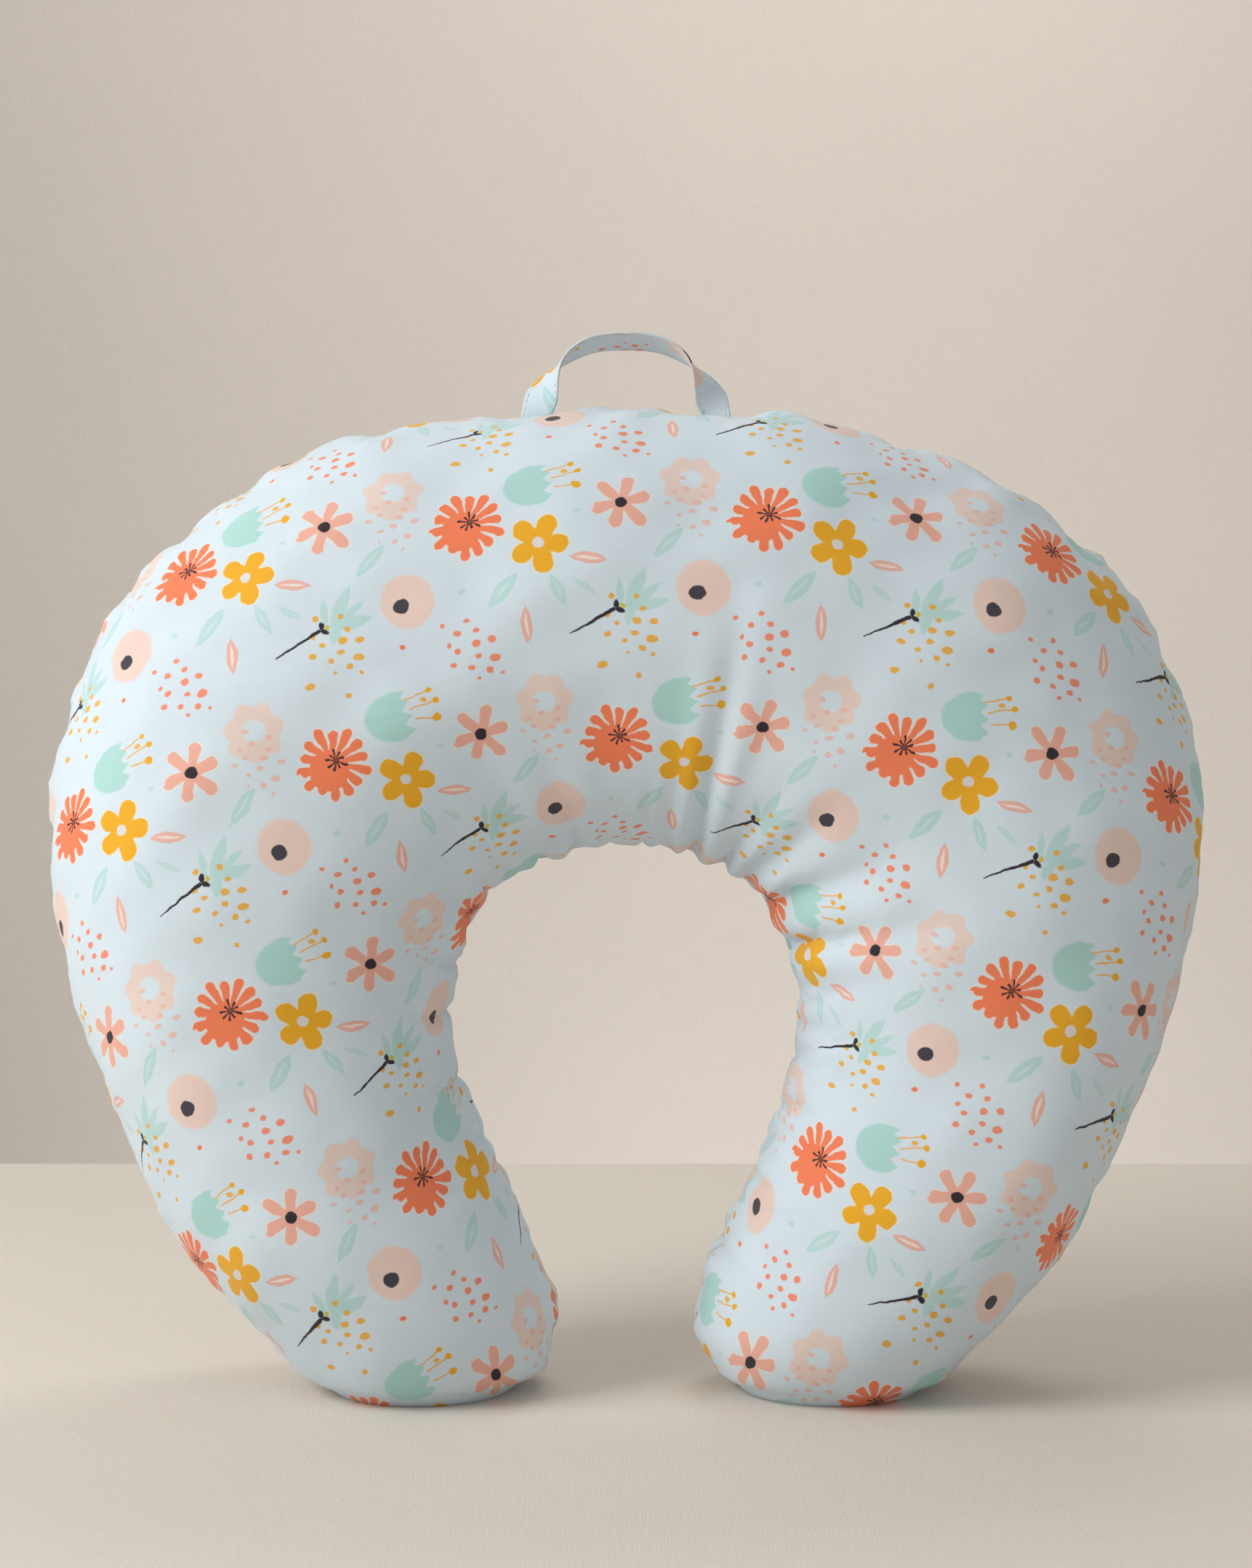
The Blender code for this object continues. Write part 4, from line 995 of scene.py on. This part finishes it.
def flat_cut(rows, around, ridge, side):
    """Where each point lies on the flat cloth.  The ridge is unrolled with only a share of its
    turning, and a point lies off it by its way round the section, in the turned direction
    across the body.  side is 1 for the front, and -1 for the back, which is seen mirrored."""
    turning = bpy.context.scene.pillow_print.turning
    line = rows[:, 4:6]
    step = np.diff(line, axis=0)
    heading = np.unwrap(np.arctan2(step[:, 1], step[:, 0]))
    heading -= 0.5 * (heading[len(heading) // 2 - 1] + heading[len(heading) // 2])
    size = np.linalg.norm(step, axis=1)
    walk = np.stack((np.cos(turning * heading), np.sin(turning * heading)), axis=1) * size[:, None]
    path = np.concatenate((np.zeros((1, 2)), np.cumsum(walk, axis=0)))
    middle = len(path) // 2
    path += (line[middle] - path[middle]) * (0.0, 1.0) - path[middle] * (1.0, 0.0)
    at_row = np.concatenate((heading[:1], 0.5 * (heading[1:] + heading[:-1]), heading[-1:]))
    way = np.where(np.hypot(*(rows[:, 2:4] - rows[:, 0:2]).T)[:, None] > 1e-9,
                   rows[:, 2:4] - rows[:, 0:2], (0.0, 1.0))
    way = way / np.linalg.norm(way, axis=1, keepdims=True)
    back = (turning - 1.0) * at_row
    across = np.stack((way[:, 0] * np.cos(back) - way[:, 1] * np.sin(back),
                       way[:, 0] * np.sin(back) + way[:, 1] * np.cos(back)), axis=1)
    off = (around[:, ridge:ridge + 1] - around) * side
    flat = path[:, None, :] + off[..., None] * across[:, None, :]
    return flat * (side, 1.0)


def register():
    for item in CLASSES:
        bpy.utils.register_class(item)
    bpy.types.Scene.pillow_cover = PointerProperty(type=CoverSettings)
    bpy.types.Scene.pillow_print = PointerProperty(type=PrintSettings)
    bpy.types.Scene.pillow_stage = PointerProperty(type=StageSettings)


def unregister():
    del bpy.types.Scene.pillow_stage
    del bpy.types.Scene.pillow_print
    del bpy.types.Scene.pillow_cover
    for item in reversed(CLASSES):
        bpy.utils.unregister_class(item)


FINISHES = {}


def finish_of(name):
    """A finish by its name, made the first time that a piece needs it."""
    if name not in FINISHES:
        makers = {
            "printed_cotton": lambda: printed_cotton(bpy.context.scene.pillow_print),
            "lining_cloth": lambda: plain_cloth("lining_cloth", (0.84, 0.83, 0.79), 0.7, 0.0003),
            "polyester_fibre": fibre_material,
            "zip_tape": tape_material,
            "zip_nylon": nylon_material,
            "nickel": nickel_material,
            "label_satin": satin_material,
            "cotton_thread": lambda: thread_material("cotton_thread", (0.74, 0.82, 0.86)),
        }
        FINISHES[name] = makers[name]()
    return FINISHES[name]


# ---- The pieces ------------------------------------------------------------------------------
OFF_GRAIN = 0.0206             # how far the front was cut off the cloth's grain, as a slope


class PILLOW_OT_cover(bpy.types.Operator):
    """Make the cover: the front panel and the two back panels that part for the zip."""
    bl_idname = "pillow.cover"
    bl_label = "Cover"

    def execute(self, context):
        made, wall = surface(), context.scene.pillow_cover.wall
        cloth = finish_of("printed_cotton")
        grid = made["grid"]
        daisy = np.array((-0.0721, 0.4222))
        front = made["front_flat"] - daisy
        front[..., 1] -= OFF_GRAIN * front[..., 0]
        panel = grid_piece("cover_front", grid[:, :INNER_SEAM + 1], cloth,
                           front[:, :INNER_SEAM + 1], poles=True, flip=True)
        thicken(panel, wall)
        finish_piece(panel, "pillow", "printed_cotton", "cover_front_panel")
        closed = np.concatenate((grid, grid[:, :1]), axis=1)
        back = made["back_flat"] - daisy + (0.031, 0.047)
        back = np.concatenate((back, 2.0 * back[:, -1:] - back[:, -2:-1]), axis=1)
        open_share = smooth(ZIP_HALF_ANGLE + math.radians(1.5) + ZIP_TAPER,
                            ZIP_HALF_ANGLE + math.radians(1.5), np.abs(made["bearing"]))
        gap = 0.00015 + (SLIT_HALF_WIDTH - 0.00015) * open_share
        for name, low, high, at_end in (("inner", INNER_SEAM, BACK_RIDGE, True),
                                        ("outer", BACK_RIDGE, COLUMNS, False)):
            part, flat = closed[:, low:high + 1], back[:, low:high + 1]
            part, flat = trimmed(part, flat, gap, at_end)
            panel = grid_piece("cover_back_" + name, part, cloth, flat, poles=True, flip=True)
            thicken(panel, wall)
            finish_piece(panel, "pillow", "printed_cotton", "cover_back_" + name + "_panel")
        return {"FINISHED"}


def trimmed(part, flat, gap, at_end):
    """A panel whose edge on the ridge is cut back by gap, with its columns spread again evenly
    over what is left, by linear reading along each row's length."""
    if not at_end:
        part, flat = part[:, ::-1], flat[:, ::-1]
    step = np.linalg.norm(np.diff(part, axis=1), axis=-1)
    run = np.concatenate((np.zeros((len(part), 1)), np.cumsum(step, axis=1)), axis=1)
    whole = np.maximum(run[:, -1], 1e-9)
    kept = np.maximum(1.0 - gap / whole, 0.05)
    columns = np.arange(part.shape[1], dtype=float)
    place = np.stack([np.interp(one * share, one, columns) for one, share in zip(run, kept)])
    low = np.minimum(place.astype(int), part.shape[1] - 2)
    share = (place - low)[..., None]
    line = np.arange(len(part))[:, None]
    part = part[line, low] * (1.0 - share) + part[line, low + 1] * share
    flat = flat[line, low] * (1.0 - share) + flat[line, low + 1] * share
    part[[0, -1]] = part[[0, -1], :1]
    return (part, flat) if at_end else (part[:, ::-1], flat[:, ::-1])


def finish_piece(piece, body, slot, *nodes):
    """Say which body a piece rides on, and hide the nodes that it stands for; slot is not used."""
    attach(piece, body)
    if nodes:
        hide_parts(*nodes)


def inner_grid(depth):
    """The settled surface set inwards along its normals, more behind the zip."""
    made = surface()
    half = (slice(None, None, 2), slice(None, None, 2))
    grid, normal = made["grid"][half], blurred(made["normal"][half], 6)
    normal /= np.maximum(np.linalg.norm(normal, axis=-1, keepdims=True), 1e-9)
    near = np.exp(-((made["angles"][::2] - 0.5 * math.pi) / math.radians(12.0)) ** 2)
    hollow = ZIP_HOLLOW * made["share"][::2] * near[None, :]
    inner = blurred(grid, 4) - (depth + hollow)[..., None] * normal
    tips = (rows_tip(made, 0), rows_tip(made, -1))
    inner[0], inner[-1] = tips
    inner[..., 2] = np.maximum(inner[..., 2], depth)
    return inner


def rows_tip(made, end):
    """A point just inside the body's tip."""
    tip, beside = made["grid"][end, 0], made["grid"][6 if end == 0 else -7].mean(axis=0)
    return tip + 0.35 * (beside - tip)


class PILLOW_OT_inner_pillow(bpy.types.Operator):
    """Make the inner pillow: its two lining panels and its fibre filling."""
    bl_idname = "pillow.inner_pillow"
    bl_label = "Inner pillow"

    def execute(self, context):
        lining = inner_grid(0.0024)
        closed = np.concatenate((lining, lining[:, :1]), axis=1)
        half = INNER_SEAM // 2
        for name, part in (("front", closed[:, :half + 1]), ("back", closed[:, half:])):
            panel = grid_piece("lining_" + name, part, finish_of("lining_cloth"),
                               poles=True, flip=True)
            thicken(panel, 0.0006)
            finish_piece(panel, "pillow", "lining_cloth", "lining_" + name + "_panel")
        fibre = inner_grid(0.0042)
        x, y, z = fibre[..., 0], fibre[..., 1], fibre[..., 2]
        clumps = waves(x + y, z - y, 0.022, 21) * 0.0003
        inward = fibre - fibre.mean(axis=1, keepdims=True)
        inward /= np.maximum(np.linalg.norm(inward, axis=-1, keepdims=True), 1e-6)
        share = surface()["share"][::2]
        fibre = fibre - (np.abs(clumps) * smooth(0.0, 0.2, share))[..., None] * inward
        filling = grid_piece("filling", fibre, finish_of("polyester_fibre"),
                             wrap=True, poles=True, flip=True)
        finish_piece(filling, "pillow", "polyester_fibre", "fibre_filling")
        return {"FINISHED"}


def strap_line(steps):
    """The handle's centre line, tangent and width direction, from the left sewn end over the
    top to the right: a free-ended spline through five given points and their mirror."""
    across, rise = HANDLE_HALF_SPAN, HANDLE_RISE
    half = np.array(((0.0, rise, -17.0), (0.39 * across, 0.95 * rise, -15.0),
                     (0.73 * across, 0.69 * rise, 6.0), (0.90 * across, 0.37 * rise, 52.0),
                     (1.00 * across, 0.02 * rise, 90.0)))
    path = np.vstack((half[:0:-1] * (-1.0, 1.0, 1.0), half))
    run = np.concatenate(((0.0,), np.cumsum(np.linalg.norm(np.diff(path[:, :2], axis=0), axis=1))))
    places = np.linspace(0.0, run[-1], steps)
    line, tiny = natural_spline(run, path, places), 1e-4
    slope = (natural_spline(run, path, np.clip(places + tiny, 0.0, run[-1]))
             - natural_spline(run, path, np.clip(places - tiny, 0.0, run[-1])))[:, :2]
    tangent = slope / np.linalg.norm(slope, axis=1, keepdims=True)
    twist = np.radians(line[:, 2])
    width_way = np.stack((-np.sin(twist) * tangent[:, 1], np.cos(twist),
                          np.sin(twist) * tangent[:, 0]), axis=1)
    centre = np.stack((line[:, 0], 0.0 * twist, HANDLE_ROOT + line[:, 1] - 0.02 * rise), axis=1)
    tangent = np.stack((tangent[:, 0], 0.0 * twist, tangent[:, 1]), axis=1)
    return centre, tangent, width_way


def strap_frame(steps):
    """The strap's line with its sewn ends carried down into the seam, and its half width."""
    centre, tangent, width_way = strap_line(steps)
    for end, row in ((0, 0), (-1, -1)):
        sunk = centre[row] - np.outer(np.linspace(0.0055, 0.0012, 5), (0.0, 0.0, 1.0))
        sunk = sunk if end == 0 else sunk[::-1]
        up = np.tile((0.0, 0.0, 1.0 if end == 0 else -1.0), (5, 1))
        wide = np.tile(width_way[row], (5, 1))
        centre, tangent, width_way = (np.vstack(pair if end == 0 else pair[::-1]) for pair in (
            (sunk, centre), (up, tangent), (wide, width_way)))
    rise = np.clip((centre[:, 2] - HANDLE_ROOT) / (0.30 * HANDLE_RISE), 0.0, 1.0)
    rise = rise * rise * (3.0 - 2.0 * rise)
    half = 0.5 * (STRAP_END_WIDTH + (STRAP_WIDTH - STRAP_END_WIDTH) * rise)
    return centre, tangent, width_way, half


class PILLOW_OT_handle(bpy.types.Operator):
    """Make the carrying handle: a folded strap, top-stitched along both edges."""
    bl_idname = "pillow.handle"
    bl_label = "Handle"

    def execute(self, context):
        centre, tangent, width_way, half = strap_frame(121)
        wall_way = np.cross(tangent, width_way)
        # The section, from one edge over the outer face to the other and back: a flat strap
        # with round edges, a dip along each stitch line and a slight belly between them.
        share = np.concatenate((np.linspace(-1.0, 1.0, 25), np.linspace(1.0, -1.0, 25)[1:-1]))
        face = np.concatenate((np.ones(25), -np.ones(23)))
        edge_round = np.sqrt(np.clip(1.0 - ((np.abs(share) - 0.90) / 0.10).clip(0.0, 1.0) ** 2, 0.0, 1.0))
        dip = np.exp(-((np.abs(share) - 0.78) / 0.055) ** 2)
        thick = 0.5 * STRAP_WALL * (edge_round * (0.94 + 0.14 * (1.0 - share ** 2)) - 0.42 * dip)
        loops = (centre[:, None] + (half[:, None] * share)[..., None] * width_way[:, None]
                 + (face * thick)[None, :, None] * wall_way[:, None])
        run = np.concatenate(((0.0,), np.cumsum(np.linalg.norm(np.diff(centre, axis=0), axis=1))))
        ripple = 0.00016 * np.sin(run / 0.0016 + 3.0 * np.sin(run / 0.019))[:, None] * dip[None, :]
        loops += (ripple * face)[..., None] * wall_way[:, None]
        flat = np.stack((run[:, None] + 0.0 * share, half[:, None] * share + 0.0 * run[:, None]
                         + 0.060 * (face < 0.0)), axis=-1) + (0.0015, -0.0265)
        strap = carried("handle", loops, finish_of("printed_cotton"), flat, flip=True)
        join_handle(strap)
        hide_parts("handle_strap")
        stitch = []
        for side in (-1.0, 1.0):
            for over in (-1.0, 1.0):
                line = (centre + side * 0.78 * half[:, None] * width_way
                        + over * 0.40 * STRAP_WALL * wall_way)
                stitch.append(stitches(line[6:-6], over * wall_way[6:-6], 0.0026, 0.0010, 0.00021))
        thread = repeated("handle_stitching", np.concatenate(stitch), finish_of("cotton_thread"))
        join_handle(thread)
        return {"FINISHED"}


def join_handle(piece):
    """Sewn into the seam below; its place is baked into its mesh."""
    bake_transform(piece)


def stitches(line, out, long, gap, radius):
    """Short arched threads along a line: each is a six-sided tube through five points whose
    height above the cloth goes as half a sine wave and whose ends dive into it."""
    run = np.concatenate(((0.0,), np.cumsum(np.linalg.norm(np.diff(line, axis=0), axis=1))))
    count = int(run[-1] / (long + gap))
    start = (run[-1] - count * (long + gap)) * 0.5 + np.arange(count) * (long + gap)
    share = np.linspace(0.0, 1.0, 5)
    where = start[:, None] + share[None, :] * long
    middle, up = (np.stack([np.interp(where, run, values[:, axis]) for axis in range(3)], axis=-1)
                  for values in (line, out))
    up /= np.linalg.norm(up, axis=-1, keepdims=True)
    middle = middle + (np.sin(math.pi * share) * 1.6 * radius - 0.9 * radius)[None, :, None] * up
    way = np.gradient(middle, axis=1)
    way /= np.linalg.norm(way, axis=-1, keepdims=True)
    side = np.cross(way, up)
    turn = np.arange(6) * math.pi / 3.0
    thin = radius * (0.55 + 0.45 * np.sin(math.pi * share))
    return (middle[:, :, None] + thin[None, :, None, None]
            * (np.cos(turn)[None, None, :, None] * side[:, :, None]
               + np.sin(turn)[None, None, :, None] * up[:, :, None]))


def arc_point(turn, radius, depth):
    """Points round the arch centre, at a depth below the back ridge."""
    turn, radius, depth = np.broadcast_arrays(turn, radius, depth)
    return np.stack((radius * np.sin(turn), RIDGE_Y - depth,
                     ARCH_CENTRE + radius * np.cos(turn)), axis=-1)


class PILLOW_OT_zip(bpy.types.Operator):
    """Make the zip: two knitted tapes, two coils of turned nylon, stops, slider and pull."""
    bl_idname = "pillow.zip"
    bl_label = "Zip"

    def execute(self, context):
        reach_angle = ZIP_HALF_ANGLE + ZIP_TAPER + math.radians(1.2)
        for name, side in (("inner", -1.0), ("outer", 1.0)):
            self.tape(name, side, reach_angle)
            self.coil(name, side)
        self.stitching(surface())
        for name in ("zip_top_stop", "zip_bottom_stop", "zip_slider", "zip_pull_tab"):
            finish = finish_of("zip_nylon" if "stop" in name else "nickel")
            bevel = 0.00045 if "stop" in name else 0.00022
            self.rounded(name, finish, bevel)
        return {"FINISHED"}

    def tape(self, name, side, reach_angle):
        """A flat tape on the arc, with a corded edge beside the coil: its section is a thin
        rectangle that swells to a round cord at its inner edge."""
        turn = np.linspace(-reach_angle, reach_angle, 241)
        share = np.linspace(0.0, 1.0, 15)
        off = COIL_HALF_SPACING + share * (TAPE_REACH - COIL_HALF_SPACING)
        swell = 0.00018 * np.exp(-((share - 0.07) / 0.06) ** 2)
        low = TAPE_DEPTH + TAPE_WALL + swell
        across = np.concatenate((off, off[::-1]))
        depth = np.concatenate((np.full_like(share, TAPE_DEPTH), low[::-1]))
        loops = arc_point(turn[:, None], RIDGE_RADIUS + side * across[None, :], depth[None, :])
        made = carried("zip_tape_" + name + "_cloth", loops, finish_of("zip_tape"), flip=side < 0.0)
        finish_piece(made, "pillow", "zip_tape", "zip_tape_" + name)

    def coil(self, name, side):
        """One coil of turned nylon: each turn is a flattened loop round the tape's edge cord,
        with a wider head on the middle line where it locks with its neighbours."""
        pitch = 0.00136
        count = int(2.0 * ZIP_HALF_ANGLE * RIDGE_RADIUS / pitch)
        start = -ZIP_HALF_ANGLE + 0.5 * pitch / RIDGE_RADIUS * (1.5 if side > 0.0 else 0.7)
        centre = start + np.arange(count - 1) * pitch / RIDGE_RADIUS
        low, high = TAPE_DEPTH - 0.00036, -COIL_TOP + 0.00034
        # The turn's centre line: foot, up over the top, head at the middle line, and back under.
        across = np.array((0.0030, 0.0019, 0.0006, -0.00025, -0.00038, -0.00020, 0.0007, 0.0020, 0.0030))
        depth = np.array((high + 0.0001, high, high, high + 0.00022, 0.5 * (low + high),
                          low - 0.00022, low, low, low - 0.0001))
        lean = np.linspace(-0.5, 0.5, 9) * 0.55 * pitch / RIDGE_RADIUS
        thick = np.array((0.00030, 0.00032, 0.00034, 0.00040, 0.00044, 0.00040, 0.00034, 0.00032, 0.00030))
        middle = arc_point(centre[:, None] + lean[None, :],
                           RIDGE_RADIUS + side * across[None, :], depth[None, :])
        way = np.gradient(middle, axis=1)
        way /= np.linalg.norm(way, axis=-1, keepdims=True)
        along = np.stack((np.cos(centre), 0.0 * centre, -np.sin(centre)), axis=-1)[:, None, :]
        up = np.cross(way, np.broadcast_to(along, way.shape))
        up /= np.linalg.norm(up, axis=-1, keepdims=True)
        turn = np.arange(5) * 2.0 * math.pi / 5.0
        loops = (middle[:, :, None] + thick[None, :, None, None]
                 * (np.cos(turn)[None, None, :, None] * along[:, :, None]
                    + np.sin(turn)[None, None, :, None] * up[:, :, None]))
        made = repeated("zip_coil_" + name + "_turns", loops, finish_of("zip_nylon"))
        finish_piece(made, "pillow", "zip_nylon", "zip_coil_" + name)

    def stitching(self, made):
        """A row of top-stitching beside each folded edge of the slit."""
        grid, normal = made["grid"], made["normal"]
        inside = np.nonzero(np.abs(made["bearing"]) < ZIP_HALF_ANGLE + math.radians(1.0))[0]
        rows = []
        for side in (-1, 1):
            off = SLIT_HALF_WIDTH + 0.0026
            columns = BACK_RIDGE + side * np.arange(25)
            run = made["to_back"][inside][:, columns]
            read = lambda field: np.stack([np.stack([np.interp(off, one, values[:, axis]) for axis in range(3)])
                                           for one, values in zip(run, field[inside][:, columns])])
            line, out = read(grid), read(normal)
            rows.append(stitches(line + 0.00012 * out, out, 0.0026, 0.0009, 0.00021))
        thread = repeated("zip_stitching", np.concatenate(rows), finish_of("cotton_thread"))
        finish_piece(thread, "pillow", None)

    def rounded(self, name, finish, bevel):
        """A copy of a node with its doubles merged and its edges rounded."""
        source = frame["nodes"][name]
        mesh = source.data.copy()
        made = bpy.data.objects.new(name + "_rounded", mesh)
        bpy.context.collection.objects.link(made)
        weld = made.modifiers.new("weld", "WELD")
        weld.merge_threshold = 2e-6
        flat = made.modifiers.new("flat", "DECIMATE")
        flat.decimate_type, flat.angle_limit = "DISSOLVE", math.radians(3.0)
        edge_round = made.modifiers.new("round", "BEVEL")
        edge_round.width, edge_round.segments, edge_round.limit_method = bevel, 3, "ANGLE"
        edge_round.angle_limit = math.radians(35.0)
        edge_round.harden_normals = False
        mesh.materials.clear()
        mesh.materials.append(finish)
        mesh.shade_smooth()
        body = source["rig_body"]
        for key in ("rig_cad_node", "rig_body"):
            if key in made:
                del made[key]
        finish_piece(made, body, "zip_nylon" if "stop" in name else "nickel", name)


class PILLOW_OT_label(bpy.types.Operator):
    """Make the blank care label, sewn by one edge into the outer seam at the back."""
    bl_idname = "pillow.label"
    bl_label = "Care label"

    def execute(self, context):
        made = surface()
        bearing = made["bearing"]
        grid, normal = (np.concatenate((made[key], made[key][:, :1]), axis=1)
                        for key in ("grid", "normal"))
        middle = np.interp(LABEL_ANGLE, bearing[80:-80], np.arange(80, len(bearing) - 80))
        row = int(middle)
        pace = np.linalg.norm(grid[row + 1, COLUMNS - 8] - grid[row, COLUMNS - 8])
        wide, long = 19, 31
        rows = middle + np.linspace(-0.5, 0.5, wide) * LABEL_WIDTH / pace
        last = np.linalg.norm(grid[row, COLUMNS] - grid[row, COLUMNS - 1])
        run = made["around"][row, BACK_RIDGE:]
        run = np.append(run, run[-1] + last)
        target = run[-1] - 0.0006 - np.linspace(0.0, LABEL_LENGTH - 0.001, long)
        columns = np.interp(target, run, np.arange(BACK_RIDGE, COLUMNS + 1))
        r, c = np.meshgrid(rows, columns, indexing="ij")
        r0, c0 = r.astype(int), np.minimum(c.astype(int), COLUMNS - 1)
        fr, fc = (r - r0)[..., None], (c - c0)[..., None]

        def read(field):
            return ((field[r0, c0] * (1 - fc) + field[r0, c0 + 1] * fc) * (1 - fr)
                    + (field[r0 + 1, c0] * (1 - fc) + field[r0 + 1, c0 + 1] * fc) * fr)
        place, out = read(grid), read(normal)
        free = np.linspace(0.0, 1.0, long)[None, :]
        side = np.linspace(-1.0, 1.0, wide)[:, None]
        lift = (0.0007 + 0.0024 * free ** 2.2 + 0.0010 * free * side ** 2
                + 0.0005 * np.sin(4.0 * free + side))
        place = place + lift[..., None] * out
        flat = np.stack(np.broadcast_arrays(side * 0.5 * LABEL_WIDTH, free * LABEL_LENGTH), axis=-1)
        label = grid_piece("care_label_ribbon", place, finish_of("label_satin"), flat)
        thicken(label, 0.0003)
        finish_piece(label, "pillow", "label_satin", "care_label")
        return {"FINISHED"}


class PILLOW_OT_stage(bpy.types.Operator):
    """Make the linen-covered table, the wall, the lights and the camera."""
    bl_idname = "pillow.stage"
    bl_label = "Stage"

    def execute(self, context):
        stage, scene = context.scene.pillow_stage, context.scene
        back = stage.wall_back
        x = np.linspace(-3.2, 3.2, 3)
        y = np.linspace(-2.2, stage.table_back, 3)
        floor = np.stack(np.meshgrid(x, y, [0.0], indexing="ij"), axis=-1)[:, :, 0]
        table = grid_piece("table_linen", floor, self.linen("table_linen", tuple(stage.table), 0))
        z = np.linspace(-1.2, 3.4, 3)
        wall = np.stack(np.meshgrid(x, [back], z, indexing="ij"), axis=-1)[:, 0]
        backdrop = grid_piece("wall", wall, self.linen("wall_paint", tuple(stage.wall), 1))
        for name, place, target, size, share, tint in (
                ("window", (-1.70, -0.95, 1.30), (0.05, 0.0, 0.22), 1.15, 1.0, (1.0, 0.985, 0.96)),
                ("bounce", (1.3, -1.6, 0.9), (0.0, 0.0, 0.25), 1.6, 0.09, (1.0, 0.96, 0.92)),
                ("wall_wash", (0.35, back - 0.95, 2.6), (0.1, back, 0.9), 1.2, 0.50, (1.0, 0.98, 0.95)),
                ("wall_low", (0.15, back - 1.1, -0.8), (0.15, back, 0.4), 1.6, 0.335, (1.0, 0.98, 0.95))):
            self.light(name, place, target, size, stage.key * share, tint)
        world = bpy.data.worlds.new("room")
        world.use_nodes = True
        world.node_tree.nodes["Background"].inputs[0].default_value = (0.99, 0.95, 0.90, 1.0)
        world.node_tree.nodes["Background"].inputs[1].default_value = stage.fill
        scene.world = world
        lens = bpy.data.cameras.new("camera")
        lens.lens, lens.sensor_width, lens.clip_start, lens.clip_end = stage.lens, 36.0, 0.02, 20.0
        camera = bpy.data.objects.new("camera", lens)
        camera.location = (0.0, -stage.camera_distance, stage.camera_height)
        camera.rotation_euler = (math.radians(90.0), 0.0, 0.0)
        scene.collection.objects.link(camera)
        scene.camera = camera
        scene.view_settings.view_transform = "Standard"
        return {"FINISHED"}

    def light(self, name, place, target, size, power, tint):
        """A soft square light at a place, turned to a target."""
        lamp = bpy.data.lights.new(name, "AREA")
        lamp.energy, lamp.size, lamp.color = power, size, tint
        made = bpy.data.objects.new(name, lamp)
        made.location = place
        way = np.array(target) - np.array(place)
        flat = math.hypot(way[0], way[1])
        made.rotation_euler = (math.atan2(flat, -way[2]), 0.0, math.atan2(-way[0], way[1]))
        bpy.context.scene.collection.objects.link(made)

    def linen(self, name, paint, upright):
        """Fine linen: threads of uneven thickness both ways, and a soft cloud of tone; on the upright wall,
        painted shade darker towards the left and low on the left.
        """
        finish = Finish(name, roughness=0.9, specular_ior_level=0.2)
        x, y, z = finish.split(finish.place())
        up = z if upright else y
        flat = finish.node("ShaderNodeCombineXYZ", {}, {0: x, 1: up})
        pitch = 900.0 if upright else 1500.0
        threads = None
        for stretch in ((1.0, 0.03, 1.0), (0.03, 1.0, 1.0)):
            lay = finish.node("ShaderNodeMapping", {}, {"Vector": flat, "Scale": stretch})
            lines = finish.noise(lay, pitch, 2.0)
            threads = lines if threads is None else threads + lines
        cloud = finish.noise(flat, 2.5, 2.0)
        grain = threads * 0.10 + cloud * 0.06 + 0.87
        if upright:
            # Painted shade on the wall: the colour is darkened towards the left, and further low down on the
            # left, standing in for the light falling off there.
            left = (1.0 - ((x + 1.7) / 2.0).clamped()) * 0.22
            low = (1.0 - ((z + 0.2) / 1.5).clamped()) * (1.0 - ((x + 1.5) / 1.6).clamped()) * 0.20
            grain = grain - left - low
        finish.feed("Base Color", finish.shade(paint, grain))
        finish.bump(threads, 0.0003 if not upright else 0.00015, 0.5)
        return finish.material


class PILLOW_PT_panel(bpy.types.Panel):
    """Lists the pillow's settings and the pieces that can be made."""
    bl_idname = "PILLOW_PT_panel"
    bl_label = "Nursing Pillow"
    bl_space_type = "VIEW_3D"
    bl_region_type = "UI"
    bl_category = "Pillow"

    def draw(self, context):
        for settings in (context.scene.pillow_cover, context.scene.pillow_print, context.scene.pillow_stage):
            box = self.layout.box()
            for name in settings.__annotations__:
                box.prop(settings, name)
        for operator in OPERATORS:
            self.layout.operator(operator.bl_idname)


OPERATORS = (PILLOW_OT_stage, PILLOW_OT_cover, PILLOW_OT_inner_pillow, PILLOW_OT_handle,
             PILLOW_OT_zip, PILLOW_OT_label)
CLASSES = (CoverSettings, PrintSettings, StageSettings) + OPERATORS + (PILLOW_PT_panel,)


def main():
    register()
    bpy.ops.pillow.stage()
    bpy.ops.pillow.cover()
    bpy.ops.pillow.inner_pillow()
    bpy.ops.pillow.handle()
    bpy.ops.pillow.zip()
    bpy.ops.pillow.label()


if __name__ == "__main__":
    main()
